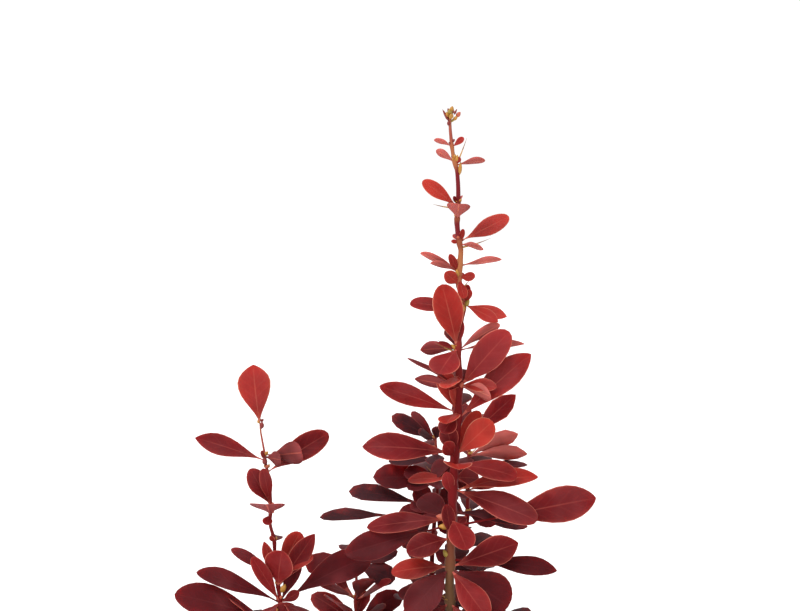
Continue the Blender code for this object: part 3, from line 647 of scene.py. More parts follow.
def grow(shoot, line, space):
    """The side twigs, leaves and nodes of one shoot, by its seed."""
    rng = random.Random(shoot.seed)
    total = line[1][-1]
    drawn = WHORLS.get(shoot.name, ())
    outward = Vector((shoot.tip[0], shoot.tip[1], 0)).normalized()
    front = Vector((0, -1, 0)) if drawn else outward
    twigs, leaves, nodes = [], [], []

    def take(candidates):
        for leaf in candidates:
            near = (blade_point(leaf, 1.0, 0) - along(line, total - from_tip).place).length < REACH
            if near and space.free(shoot.name, leaf_hull(leaf, LEAF_CLEAR)):
                leaves.append(leaf)

    def side_twig(bud, out, on, length):
        middle = bud.place + out * (0.5 * length)
        end = middle + on * (0.5 * length)
        twig = Twig([bud.place, middle, end], [SIDE_TWIG_R, 0.9 * SIDE_TWIG_R, 0.8 * SIDE_TWIG_R])
        if not space.free(shoot.name, twig_hull(twig, LEAF_CLEAR)):
            return None
        twigs.append(twig)
        return twig

    from_tip = FIRST_WHORL
    for (height, sizes), tints in zip(drawn, DRAWN_TINTS.get(shoot.name, ())):
        s = length_at(line, height * MM)
        from_tip = total - s
        nodes.append(Node(along(line, s), math.degrees(math.atan2(-sizes[0][1], sizes[0][0])), from_tip))
        for (right, near, above, width, turn, *rest), tint in zip(sizes, tints):
            spur, point = (*rest, 0, 0)[:2]
            bud = along(line, s)
            target = bud.place + Vector((right, -near, above)) * MM
            if spur:
                aim = (target - bud.place).normalized()
                twig = side_twig(bud, aim, aim, spur * MM)
                bud = twig and Bud(twig.points[2], aim)
            if bud:
                leaf = make_leaf(rng, bud, target - bud.place, width * MM, turn, front, 0, int(tint))
                take([leaf._replace(point=point or leaf.point)])
    if drawn:
        from_tip += WHORL_STEP
    facing = rng.uniform(0, 360)
    while total - from_tip > CANE_LENGTH + 6 * MM:
        bud = along(line, total - from_tip)
        nodes.append(Node(bud, facing, from_tip))
        take(whorl(rng, shoot, bud, facing, from_tip, front))
        if from_tip > SIDE_TWIG_FROM and rng.random() < SIDE_TWIG_ODDS:
            rise = rng.uniform(30, 50)
            out, on = polar(facing + 70, rise), polar(facing + 70, rise + 15)
            twig = side_twig(bud, out, on, rng.uniform(*SIDE_TWIG_LENGTHS))
            for k, part in SIDE_BUDS if twig else ():
                bearing = (twig.points[k] - twig.points[k - 1]).normalized()
                side_bud = Bud(twig.points[k], bearing)
                take(whorl(rng, shoot, side_bud, facing + 70 + 90 * k, from_tip, front, part, 4))
        facing += WHORL_TURN + rng.gauss(0, 8)
        from_tip += WHORL_STEP * (0.55 + 0.45 * smooth(from_tip / (60 * MM))) * rng.uniform(0.85, 1.15)
    return twigs, leaves, nodes


def grow_all():
    """Every shoot's cane, stem, twigs and leaves, each clear of the ones before."""
    lines = {shoot.name: stem_line(shoot) for shoot in SHOOTS}
    stems, canes = {}, {}
    for shoot in SHOOTS:
        line = lines[shoot.name]
        start, end = CANE_LENGTH + GAP, line[1][-1]
        canes[shoot.name] = stretch(shoot, line, 0.0, CANE_LENGTH, CANE_STEPS)
        stems[shoot.name] = stretch(shoot, line, start, end, round((end - start) / STEM_STEP))
    space = Space({name: twig_hull(twig) for name, twig in stems.items()})
    for name, twig in canes.items():
        space.fill(name + "_cane", [twig_hull(twig)])
    top = leaned(Vector((0, 0, CROWN_Z + CROWN_R)))
    space.fill("trunk", [twig_hull(Twig([Vector(), top], [CROWN_R, CROWN_R]))])
    growths = {}
    for shoot in SHOOTS:
        twigs, leaves, nodes = grow(shoot, lines[shoot.name], space)
        space.fill(shoot.name, [twig_hull(t) for t in twigs] + [leaf_hull(l) for l in leaves])
        cane, stem = canes[shoot.name], stems[shoot.name]
        growths[shoot.name] = Growth(lines[shoot.name], cane, stem, twigs, leaves, nodes)
    return growths


# Surfaces

def unit(vectors):
    return vectors / np.linalg.norm(vectors, axis=-1, keepdims=True)


def crosswise(ahead, guide):
    """Two unit directions square to each bearing: the guide made square to it, and their cross product."""
    across = unit(guide - ahead * np.sum(guide * ahead, axis=-1, keepdims=True))
    return across, np.cross(ahead, across)


def any_guide(ahead):
    """For each bearing the world axis that is plainly not along it."""
    return np.where(np.abs(ahead[..., 2:]) < 0.8, (0.0, 0.0, 1.0), (1.0, 0.0, 0.0))


def tube_rings(centres, radii, guide=None, sides=8, flutes=None):
    """Rings of tubes: centre + radius * (cos(angle) * across + sin(angle) * over).

    centres has the shape (copies, rows, 3) and radii (copies, rows). Flutes, (rows, sides) or more, scale the radius.
    """
    ahead = unit(np.gradient(centres, axis=1))
    across, over = crosswise(ahead, any_guide(ahead) if guide is None else guide)
    angle = 2 * np.pi * np.arange(sides) / sides
    reach = radii[..., None] * (np.ones(sides) if flutes is None else flutes)
    arms = np.cos(angle)[:, None] * across[..., None, :] + np.sin(angle)[:, None] * over[..., None, :]
    return centres[..., None, :] + reach[..., None] * arms


def pod_rings(bases, bearings, lengths, radii, rows=6, sides=7):
    """Pointed buds: radius * sin(pi * v)**0.7 * (1.2 - 0.5 * v) along a straight line from base to tip."""
    v = np.linspace(0.03, 0.985, rows)
    centres = bases[:, None] + bearings[:, None] * (lengths[:, None] * v)[..., None]
    return tube_rings(centres, radii[:, None] * np.sin(np.pi * v) ** 0.7 * (1.2 - 0.5 * v), sides=sides)


class Surface:
    """One mesh, gathered from batches of closed lofts: rings of points joined by quads, with a cap at each end."""

    def __init__(self):
        self.points, self.loops, self.sizes, self.slots, self.maps = [], [], [], [], []
        self.count = 0

    def loft(self, rings, slots=0, chart=None):
        """Adds lofts with the shape (copies, rows, sides, 3).

        slots is broadcast to (copies, rows - 1, sides), and chart, the map, to (copies, rows, sides + 1, 2).
        """
        copies, rows, sides, _ = rings.shape
        i, k = np.meshgrid(np.arange(rows - 1), np.arange(sides), indexing="ij")
        corner = np.stack([i, i, i + 1, i + 1], axis=-1)
        column = np.stack([k, k + 1, k + 1, k], axis=-1)
        start = self.count + rows * sides * np.arange(copies)
        quads = start[:, None, None, None] + corner * sides + column % sides
        turn = np.arange(sides)
        caps = np.stack([turn[::-1], (rows - 1) * sides + turn])
        chart = np.zeros(2) if chart is None else chart
        chart = np.broadcast_to(chart, (copies, rows, sides + 1, 2))
        slots = np.broadcast_to(slots, (copies, rows - 1, sides))
        self.points.append(rings.reshape(-1, 3))
        self.loops += [quads.ravel(), (start[:, None, None] + caps).ravel()]
        self.sizes += [np.full(copies * (rows - 1) * sides, 4), np.full(copies * 2, sides)]
        self.slots += [slots.ravel(), slots[:, (0, -1), 0].ravel()]
        self.maps += [chart[:, corner, column].reshape(-1, 2)]
        self.maps += [np.stack([chart[:, 0, :-1][:, ::-1], chart[:, -1, :-1]], axis=1).reshape(-1, 2)]
        self.count += copies * rows * sides

    def finish(self, name, paints):
        """Makes the mesh object, smoothly shaded, with its materials and its map."""
        points, loops, sizes = (np.concatenate(part) for part in (self.points, self.loops, self.sizes))
        mesh = bpy.data.meshes.new(name)
        mesh.vertices.add(len(points))
        mesh.vertices.foreach_set("co", points.astype(np.float32).ravel())
        mesh.loops.add(len(loops))
        mesh.loops.foreach_set("vertex_index", loops.astype(np.int32))
        mesh.polygons.add(len(sizes))
        mesh.polygons.foreach_set("loop_start", (np.cumsum(sizes) - sizes).astype(np.int32))
        mesh.polygons.foreach_set("material_index", np.concatenate(self.slots).astype(np.int32))
        for paint in paints:
            mesh.materials.append(paint)
        chart = mesh.uv_layers.new(name="surface")
        chart.data.foreach_set("uv", np.concatenate(self.maps).astype(np.float32).ravel())
        mesh.update(calc_edges=True)
        mesh.shade_smooth()
        made = bpy.data.objects.new(name, mesh)
        bpy.context.scene.collection.objects.link(made)
        return made


def dress(piece, slot, *nodes):
    """Lets a piece ride on the plant and stand for solids. The slot is not used."""
    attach(piece, "root")
    if nodes:
        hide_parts(*nodes)


# Materials

class Wire:
    """An output inside a material. Operators on values add Math nodes."""

    def __init__(self, tree, output):
        self.tree, self.output = tree, output

    def node(self, kind, settings=None, values=None, output=0):
        """Adds a node: its settings first, then the values or links of its inputs. Gives one of its outputs."""
        made = self.tree.nodes.new(kind)
        for key, value in (settings or {}).items():
            if key == "stops":
                for extra in range(len(value) - 2):
                    made.color_ramp.elements.new(0.5)
                for stop, (place, colour) in zip(made.color_ramp.elements, value):
                    stop.position = place
                    stop.color = (*colour, 1)
            else:
                setattr(made, key, value)
        for key, value in (values or {}).items():
            if isinstance(value, Wire):
                self.tree.links.new(value.output, made.inputs[key])
            else:
                made.inputs[key].default_value = value
        return Wire(self.tree, made.outputs[output])

    def math(self, operation, *others):
        values = dict(enumerate((self, *others)))
        return self.node("ShaderNodeMath", {"operation": operation}, values)

    def mix(self, low, high):
        """The colour that goes from low to high as this value goes from 0 to 1."""
        low, high = (c if isinstance(c, Wire) else (*c, 1) for c in (low, high))
        return self.node("ShaderNodeMix", {"data_type": "RGBA"}, {0: self, 6: low, 7: high}, 2)

    def __add__(self, other):
        return self.math("ADD", other)

    def __radd__(self, other):
        return self.math("ADD", other)

    def __sub__(self, other):
        return self.math("SUBTRACT", other)

    def __rsub__(self, other):
        return self.node("ShaderNodeMath", {"operation": "SUBTRACT"}, {0: other, 1: self})

    def __mul__(self, other):
        return self.math("MULTIPLY", other)

    def __rmul__(self, other):
        return self.math("MULTIPLY", other)

    def __pow__(self, other):
        return self.math("POWER", other)


class Paint:
    """A material with one Principled shader, and wires to its coordinates."""

    def __init__(self, name, **numbers):
        self.material = bpy.data.materials.new(name)
        self.material.use_nodes = True
        self.tree = self.material.node_tree
        self.shader = self.tree.nodes["Principled BSDF"]
        for key, value in numbers.items():
            self.shader.inputs[key.replace("_", " ")].default_value = value
        self.root = Wire(self.tree, None)
        self.place = self.root.node("ShaderNodeTexCoord", output=3)

    def noise(self, scale, detail=2.0, stretched=(1, 1, 1)):
        """Cloudy values round 0.5, with so many clouds a metre, drawn out along an axis."""
        place = self.root.node("ShaderNodeMapping", None, {"Vector": self.place, "Scale": stretched})
        return self.root.node("ShaderNodeTexNoise", None, {"Vector": place, "Scale": scale, "Detail": detail})

    def chart(self):
        """The two coordinates of the piece's own map."""
        uv = self.root.node("ShaderNodeTexCoord", output=2)
        split = self.root.node("ShaderNodeSeparateXYZ", None, {"Vector": uv})
        return split, Wire(self.tree, split.output.node.outputs[1])

    def set(self, key, wire):
        self.tree.links.new(wire.output, self.shader.inputs[key])

    def relief(self, height, depth, strength=1.0):
        values = {"Strength": strength, "Distance": depth, "Height": height}
        self.set("Normal", self.root.node("ShaderNodeBump", None, values))


def scaled(colour, share):
    return tuple(min(c * share, 1.0) for c in colour)


def blade_paint(name, colour, looks, roughness, rim=None):
    """A leaf's surface: its tint, slightly cloudy, and mixed in patches towards a dusty pink, a painted sheen.

    With a rim tint it is an upper side, which takes that tint at its foot, along its midrib and a little at its
    margin, and has faint side veins. At foot and midrib the paler tint is their own colour; at the margin it is
    painted glow, light shining through the thin edge.
    """
    paint = Paint(
        name,
        Specular_IOR_Level=looks.gloss,
        Subsurface_Weight=looks.glow,
        Subsurface_Radius=(1.0, 0.3, 0.2),
        Subsurface_Scale=0.0012,
    )
    cloud = (paint.noise(55) - 0.5) * 1.4 + (paint.noise(260, 2) - 0.5) * 0.3 + 0.48
    tone = cloud.mix(scaled(colour, 0.45), scaled(colour, 1.55))
    # Painted sheen: in patches the tint goes towards a dusty pink, the white surround's reflection painted into the
    # colour.
    painted_sheen = ((paint.noise(38) - 0.52) * 2.5).math("MAXIMUM", 0.0).math("MINIMUM", 0.2)
    tone = painted_sheen.mix(tone, tuple(looks.painted_sheen))
    paint.set("Roughness", roughness - 0.03 + 0.06 * paint.noise(400))
    if rim:
        across, up = paint.chart()
        aside = (across - 0.5).math("ABSOLUTE") * 2
        foot = ((0.3 - up) * 1.6).math("MAXIMUM", 0.0)
        rib = (1 - aside * 16).math("MAXIMUM", 0.0) * (0.5 - 0.42 * up)
        wave = ((up * 7 - aside * 1.6) * (2 * math.pi)).math("SINE") * 0.5 + 0.5
        vein = wave**9
        # Paler at foot, midrib and veins by their own colour; the paler margin is a painted glow of light through the
        # thin edge.
        pale = aside**6 * 0.16 + foot + rib + vein * 0.03
        tone = pale.math("MINIMUM", 1.0).mix(tone, rim)
        paint.relief(vein + 0.2 * paint.noise(600), 0.00005, 0.35)
    else:
        paint.relief(paint.noise(500), 0.00003, 0.25)
    paint.set("Base Color", tone)
    return paint.material


def stem_paint(looks):
    """Bark of the year: its colour goes by the distance from the tip, kept in the map, and is ochre at the nodes."""
    paint = Paint("stem", Specular_IOR_Level=0.08)
    node, down = paint.chart()
    stops = [
        (0.0, looks.tip),
        (0.03, looks.young),
        (0.05, looks.node),
        (0.058, looks.node),
        (0.07, looks.wine),
        (0.155, looks.wine),
        (0.172, looks.node),
        (0.195, looks.node),
        (0.22, looks.young),
        (0.27, looks.red),
        (0.36, looks.crimson),
        (0.5, looks.crimson),
        (0.6, looks.ripe),
        (0.75, looks.tan),
        (1.0, looks.old),
    ]
    wander = down + 0.03 * (paint.noise(60) - 0.5)
    colour = wander.node("ShaderNodeValToRGB", {"stops": [(p, tuple(c)) for p, c in stops]}, {0: wander})
    grain = paint.noise(500, 4, (1, 1, 0.15))
    corky = ((down - 0.5) * 2).math("MAXIMUM", 0.0).math("MINIMUM", 0.7) * grain
    shaded = corky.mix(colour, tuple(looks.bark))
    paint.set("Base Color", node.mix(shaded, tuple(looks.node)))
    paint.set("Roughness", 0.4 + 0.25 * grain)
    paint.relief(grain, 0.00012, 0.7)
    return paint.material


def bark_paint(looks):
    """Old bark: grey-brown, with dark fissures along the wood and pale dry flakes."""
    paint = Paint("bark_old", Specular_IOR_Level=0.2)
    fissure = paint.noise(260, 5, (1, 1, 0.18))
    flake = paint.noise(900, 3, (1, 1, 0.5))
    base = (fissure * 1.6 - 0.3).mix(scaled(looks.bark, 0.35), tuple(looks.bark))
    paint.set("Base Color", ((flake - 0.45) * 1.2).math("MAXIMUM", 0.0).mix(base, tuple(looks.flake)))
    paint.set("Roughness", 0.75 + 0.2 * flake)
    paint.relief(fissure + 0.3 * flake, 0.0006, 0.8)
    return paint.material


def plain_paint(name, colour, roughness=0.5):
    """A small part's surface: one tint with slight clouds."""
    paint = Paint(name, Specular_IOR_Level=0.35)
    paint.set("Base Color", paint.noise(500).mix(scaled(colour, 0.75), scaled(colour, 1.25)))
    paint.set("Roughness", roughness - 0.05 + 0.1 * paint.noise(900))
    return paint.material


# Settings

def tint_property(label, about, default):
    return FloatVectorProperty(name=label, description=about, subtype="COLOR", size=3, min=0, max=1, default=default)


class LeafLooks(bpy.types.PropertyGroup):
    """Tints and build of the leaves."""

    coral: tint_property("Coral", "Upper side of the youngest leaves", linear(150, 46, 38))
    red: tint_property("Red", "Upper side of young leaves", linear(128, 32, 27))
    crimson: tint_property("Crimson", "Upper side of full-grown leaves", linear(109, 24, 25))
    burgundy: tint_property("Burgundy", "Upper side of older leaves", linear(89, 18, 21))
    maroon: tint_property("Maroon", "Upper side of the oldest leaves", linear(70, 17, 21))
    plum: tint_property("Plum", "Upper side of leaves in the shade", linear(52, 25, 29))
    under_young: tint_property("Young underside", "Underside of young leaves", linear(164, 86, 80))
    under_grown: tint_property("Grown underside", "Underside of full-grown leaves", linear(128, 57, 57))
    under_old: tint_property("Old underside", "Underside of the oldest leaves", linear(88, 42, 46))
    # The rim tints are the own colour of rib and stalk; on the rim strip their paleness is a painted glow of light
    # through the thin edge.
    edge_young: tint_property("Young rim", "Rim, rib and stalk of young leaves", linear(190, 108, 88))
    edge_grown: tint_property("Grown rim", "Rim, rib and stalk of full-grown leaves", linear(172, 84, 72))
    edge_old: tint_property("Old rim", "Rim, rib and stalk of the oldest leaves", linear(98, 42, 42))
    # Painted sheen: the dusty pink that patches of the blades take in place of the white surround's reflection.
    painted_sheen: tint_property("Bloom", "Waxy bloom on the blades", linear(126, 60, 62))
    thickness: FloatProperty(
        name="Thickness", description="Of a blade", default=0.26 * MM, min=0.1 * MM, unit="LENGTH"
    )
    stalk: FloatProperty(
        name="Stalk", description="Width of a leaf's stalk", default=0.6 * MM, min=0.1 * MM, unit="LENGTH"
    )
    glow: FloatProperty(
        name="Glow", description="Share of light that passes through the blade", default=0.25, min=0, max=1
    )
    gloss: FloatProperty(name="Gloss", description="Specular level of the blade", default=0.06, min=0, max=1)
    front_rows: IntProperty(name="Front rows", description="Rows of a front leaf's mesh", default=15, min=4)
    back_rows: IntProperty(name="Back rows", description="Rows of any other leaf's mesh", default=8, min=4)


class WoodLooks(bpy.types.PropertyGroup):
    """Tints and relief of stems, bark, buds and spines."""

    tip: tint_property("Tip", "Stem just under the tip", linear(151, 88, 71))
    young: tint_property("Young stem", "Stem of this month", linear(142, 67, 56))
    wine: tint_property("Wine stem", "Stem between its uppermost leaves", linear(106, 26, 32))
    red: tint_property("Red stem", "Stem a hand's breadth down", linear(126, 38, 34))
    crimson: tint_property("Crimson stem", "Full-grown stem", linear(102, 15, 18))
    ripe: tint_property("Ripe stem", "Stem that begins to cork", linear(108, 72, 46))
    tan: tint_property("Tan stem", "Stem of last year", linear(142, 116, 86))
    old: tint_property("Old stem", "Stem near the ground", linear(112, 92, 72))
    node: tint_property("Node", "Young stem at its nodes", linear(157, 95, 60))
    bark: tint_property("Bark", "Trunk and canes", linear(120, 96, 76))
    flake: tint_property("Flakes", "Dry flakes of bark", linear(168, 150, 128))
    spine: tint_property("Spine", "Shaft of a spine", linear(176, 132, 74))
    spine_tip: tint_property("Spine tip", "Point of a spine", linear(132, 84, 48))
    bud_green: tint_property("Green bud", "Scales of a fresh bud", linear(142, 118, 46))
    bud_yellow: tint_property("Yellow bud", "Scales of an opening bud", linear(168, 118, 46))
    bud_orange: tint_property("Orange bud", "Scales of an opening bud", linear(170, 82, 58))
    bud_red: tint_property("Red bud", "Scales of a closed bud", linear(116, 36, 32))
    voxel: FloatProperty(
        name="Bark grid", description="Size of the bark mesh's cells", default=0.5 * MM, min=0.2 * MM, unit="LENGTH"
    )
    fissure: FloatProperty(
        name="Fissures", description="Depth of the trunk's furrows", default=0.5 * MM, min=0, unit="LENGTH"
    )
    swelling: FloatProperty(
        name="Node swelling", description="How much a stem swells at a node", default=0.28, min=0, max=1
    )


class StudioLooks(bpy.types.PropertyGroup):
    """Camera and lights."""

    aim: FloatProperty(name="Aim", description="Height the camera looks at", default=0.344, unit="LENGTH")
    distance: FloatProperty(name="Distance", description="Camera to plant", default=1.0, min=0.1, unit="LENGTH")
    tilt: FloatProperty(
        name="Tilt", description="How far the camera looks down", default=math.radians(2), subtype="ANGLE"
    )
    lens: FloatProperty(name="Lens", description="Focal length in millimetres", default=118.0, min=1)
    sky: FloatProperty(name="Surround", description="Brightness of the white surround", default=1.05, min=0)
    key: FloatProperty(name="Key", description="Strength of the soft key light", default=2.4, min=0)
    key_facing: FloatProperty(
        name="Key facing", description="Where the key comes from", default=math.radians(-128), subtype="ANGLE"
    )
    key_rise: FloatProperty(
        name="Key rise", description="Height of the key", default=math.radians(52), subtype="ANGLE"
    )


# Pieces

TINTS = ("coral", "red", "crimson", "burgundy", "maroon", "plum")
AGES = ("young", "grown", "old")
TINT_STEP = 42 * MM  # distance down a stem in which leaves darken by one tint
TOP, EDGE, UNDER = 0, 1, 2
# A blade's section as (from edge to edge, face: 1 upper, 0 rim, -1 under), once round, and the parts between
FRONT_RING = (
    ((-1, 0), (-0.95, 1), (-0.5, 1), (-0.035, 1), (0.035, 1), (0.5, 1), (0.95, 1), (1, 0))
    + ((0.5, -1), (0.05, -1), (-0.05, -1), (-0.5, -1))
)
FRONT_PARTS = (EDGE, TOP, TOP, TOP, TOP, TOP, EDGE, UNDER, UNDER, EDGE, UNDER, UNDER)
BACK_RING = ((-1, 0), (-0.93, 1), (-0.04, 1), (0.04, 1), (0.93, 1), (1, 0), (0, -1))
BACK_PARTS = (EDGE, TOP, TOP, TOP, EDGE, UNDER, UNDER)
STALK_SHARE = 0.13  # of a leaf's length that is stalk


def blade_rings(leaves, rows, ring, looks):
    """Closed blades as lofts from root to tip.

    The midrib is an arc that turns by the leaf's arch. A point stands off it sideways by the outline, rises with
    the fold, waves a little towards the rim, and lies half a thickness above or below that middle face; near the
    root the section narrows to a round stalk, and on the underside the rib stands proud.
    """
    def column(key):
        return np.array([getattr(leaf, key) for leaf in leaves])[:, None, None]

    length, width, arch, fold, widest, point = (
        column(key) for key in ("length", "width", "arch", "fold", "widest", "point")
    )
    root, chord, up = (column(key) for key in ("root", "chord", "up"))
    v = (1 - np.cos(np.linspace(0.0, 1.0, rows) ** 0.9 * np.pi * 0.97))[None, :, None] / (1 - math.cos(np.pi * 0.97))
    across, face_side = (np.array(part, dtype=float)[None, None, :] for part in zip(*ring))
    side = np.cross(chord, up)
    start, angle = arch / 2, arch * v
    ahead = chord * np.cos(start)[..., None] + up * np.sin(start)[..., None]
    face = up * np.cos(start)[..., None] - chord * np.sin(start)[..., None]
    rib = (
        ahead * (np.sin(angle) / arch)[..., None]
        - face * ((1 - np.cos(angle)) / arch)[..., None]
    )
    normal = face * np.cos(angle)[..., None] + ahead * np.sin(angle)[..., None]
    stalk = np.clip(1 - v / STALK_SHARE, 0, 1) ** 0.5
    least = looks.stalk / 2 * np.maximum(stalk, 0.12)
    half = across * np.maximum(width / 2 * outlines(v, widest, point), least)
    wave = 0.012 * length * across**2 * np.sin(2 * np.pi * (1.4 * v + 40 * fold)) * np.sin(np.pi * v)
    thick = np.maximum(looks.thickness / 2, looks.stalk / 2 * stalk)
    proud = np.where((face_side < 0) & (np.abs(across) < 0.1), 1 + 1.2 * (1 - v), 1.0)
    slim = np.minimum(1.0, 0.25 + 4 * (1 - v))
    rise = np.abs(half) * np.sin(fold) + wave + face_side * thick * proud * slim
    return root + rib * length[..., None] + side * (half * np.cos(fold))[..., None] + normal * rise[..., None], v


def deal_tints(shoot, leaves, shade):
    """A tint for each leaf: older down the stem, alike within a spray, and never quite alike; shade adds tints, a
    painted shade, on the shoots behind.
    """
    rng = random.Random(shoot.seed + 500)
    tip = Vector(shoot.tip) * MM
    tints, spray, last = [], 0.0, None
    for leaf in leaves:
        if last is None or (leaf.root - last).length > 3 * MM:
            spray = rng.gauss(0, 0.3)
        last = leaf.root
        age = ((leaf.root - tip).length + shoot.young * MM) / TINT_STEP + shade + spray + rng.gauss(0, 0.35)
        age -= 0.6 * (leaf.length < 10 * MM)
        tints.append(min(max(round(age), 0), len(TINTS) - 1) if leaf.tint is None else leaf.tint)
    return np.array(tints)


def leaf_paints(looks, kind):
    """The materials of a kind of leaves: upper sides by tint, then rims and undersides by age."""
    rims = [tuple(getattr(looks, "edge_" + age)) for age in AGES]
    paints = []
    for k, tint in enumerate(TINTS):
        paints.append(blade_paint(f"leaf_{kind}_{tint}", tuple(getattr(looks, tint)), looks, 0.5, rims[k // 2]))
    # Rim strip, stalk and underside rib take the rim tints; on the rim strip the paleness is a painted glow.
    for age, rim in zip(AGES, rims):
        paints.append(blade_paint(f"rim_{kind}_{age}", rim, looks, 0.5))
    for age in AGES:
        paints.append(blade_paint(f"under_{kind}_{age}", tuple(getattr(looks, "under_" + age)), looks, 0.62))
    return paints


def part_slots(tints, parts, v):
    """The material of each face: by tint on the upper side, by age on rim, stalk and underside."""
    tints = tints[:, None, None]
    parts = np.array(parts)[None, None, :]
    parts = np.where((v[:, :-1] < 0.1) & (parts == TOP), EDGE, parts)
    age = np.minimum(tints // 2, len(AGES) - 1)
    return np.choose(parts, (tints + 0 * parts, len(TINTS) + age + 0 * parts, len(TINTS) + len(AGES) + age + 0 * parts))


def blade_chart(ring, v):
    across = np.array([a for a, _ in ring] + [ring[0][0]], dtype=float)
    return np.stack(np.broadcast_arrays(0.5 + across[None, :] / 2, v[0]), axis=-1)


def make_leaves(shoot, growth, looks, paints):
    """All the leaves of one shoot as a piece that stands for its solid."""
    front = shoot.name in FRONT_SHOOTS
    ring, parts = (FRONT_RING, FRONT_PARTS) if front else (BACK_RING, BACK_PARTS)
    rows = looks.front_rows if front else looks.back_rows
    surface = Surface()
    rings, v = blade_rings(growth.leaves, rows, ring, looks)
    # The shoots behind take 1.2 tints darker: a painted shade.
    tints = deal_tints(shoot, growth.leaves, 0.0 if front else 1.2)
    surface.loft(rings, part_slots(tints, parts, v), blade_chart(ring, v))
    dress(
        surface.finish("leaves_" + shoot.name, paints),
        "leaf_bright" if front else "leaf_dark",
        "foliage_" + shoot.name,
    )


RAMP_LENGTH = 300 * MM  # of stem that the stem's colours run over
OCHRE_UNTIL = 0.27  # share of the ramp down to which nodes are ochre
STEM_SIDES = 10
FLUTES = 5


def make_stem(surface, shoot, growth, looks):
    """A fluted stem, swollen at its nodes: radius * (1 + 0.06 * cos(5 * angle)) * (1 + swelling at each node)."""
    points, lengths = (np.array(part) for part in growth.line)
    total = lengths[-1]
    stations = np.linspace(CANE_LENGTH - 3 * MM, total, int(total / (1.8 * MM)))
    centres = np.stack([np.interp(stations, lengths, points[:, axis]) for axis in range(3)], axis=-1)
    radii = stem_radius(shoot, np.maximum(1 - stations / total, 0))
    nodes = total - np.array([node.from_tip for node in growth.nodes])
    swelling = np.exp(-(((stations[:, None] - nodes) / (1.5 * MM)) ** 2)).sum(axis=1)
    radii = radii * (1 + looks.swelling * np.minimum(swelling, 1))
    angle = 2 * np.pi * np.arange(STEM_SIDES) / STEM_SIDES
    flutes = 1 + 0.06 * np.cos(FLUTES * (angle + 3 * stations[:, None] / total))
    guide = np.array(polar(shoot.facing + 90, 0))
    rings = tube_rings(centres[None], radii[None], guide, STEM_SIDES, flutes)
    down = (total - stations + shoot.young * MM) / RAMP_LENGTH
    ochre = 0.5 * np.minimum(swelling, 1) ** 3 * np.clip((OCHRE_UNTIL - down) / 0.1, 0, 1)
    surface.loft(rings, 0, np.stack([ochre, down], axis=-1)[:, None])


TWIG_SIDES = 7
TWIG_DOWN = 0.36  # place of the side twigs on the stem's colours


def make_twigs(surface, growths):
    """Side twigs, each a parabola through its foot, its middle and its tip."""
    for growth in growths.values():
        if not growth.twigs:
            continue
        foot, middle, tip = (np.array([twig.points[k] for twig in growth.twigs])[:, None] for k in range(3))
        t = np.linspace(0, 1, 9)[None, :, None]
        bend = 2 * middle - (foot + tip) / 2
        centres = foot * (1 - t) ** 2 + bend * (2 * t * (1 - t)) + tip * t**2
        radii = SIDE_TWIG_R * (1.15 - 0.4 * t[..., 0]) * np.ones((len(growth.twigs), 1))
        surface.loft(tube_rings(centres, radii, sides=TWIG_SIDES), 0, np.array((0.0, TWIG_DOWN)))


TRUNK_ROWS, TRUNK_SIDES = 60, 96
CANE_ROWS, CANE_SIDES = 18, 14
COLLAR = 0.45  # how much a cane swells where it leaves the crown


def trunk_rings():
    """The stool as a surface of height and angle: its outline, and five ridges that run out into roots."""
    heights = np.linspace(0, TRUNK_OUTLINE[-1][0], TRUNK_ROWS)
    angle = 2 * np.pi * np.arange(TRUNK_SIDES) / TRUNK_SIDES
    body = np.interp(heights, *zip(*TRUNK_OUTLINE))[:, None]
    reach = np.interp(heights, *zip(*RIDGE_OUTLINE))[:, None]
    lobe = np.zeros(TRUNK_SIDES)
    for k in range(ROOTS):
        gap = (angle - 2 * np.pi * (k + 0.4) / ROOTS + np.pi) % (2 * np.pi) - np.pi
        lobe += np.exp(-((gap / 0.24) ** 2))
    radius = (body + reach * lobe) * MM
    z = heights[:, None] * MM
    x = radius * np.cos(angle) + LEAN * z
    y = radius * np.sin(angle)
    return np.stack([x, y, z + 0 * x], axis=-1)[None]


def cane_rings(shoot, growth):
    """A cane with a collar at its foot: radius * (1 + collar * exp(-s / 4 mm))."""
    points, lengths = (np.array(part) for part in growth.line)
    stations = np.linspace(0, CANE_LENGTH, CANE_ROWS)
    centres = np.stack([np.interp(stations, lengths, points[:, axis]) for axis in range(3)], axis=-1)
    inward = unit(centres[0] - centres[1]) * 4 * MM
    centres = np.concatenate([centres[:1] + inward, centres])
    stations = np.concatenate([[0.0], stations])
    radii = stem_radius(shoot, 1 - stations / lengths[-1]) * (1.05 + COLLAR * np.exp(-stations / (4 * MM)))
    return tube_rings(centres[None], radii[None], np.array(polar(shoot.facing + 90, 0)), CANE_SIDES)


def as_mesh(source, name):
    """The finished mesh of an object with live modifiers, in place of it."""
    bpy.context.view_layer.update()
    graph = bpy.context.evaluated_depsgraph_get()
    mesh = bpy.data.meshes.new_from_object(source.evaluated_get(graph))
    bpy.data.objects.remove(source)
    mesh.name = name
    made = bpy.data.objects.new(name, mesh)
    bpy.context.scene.collection.objects.link(made)
    return made


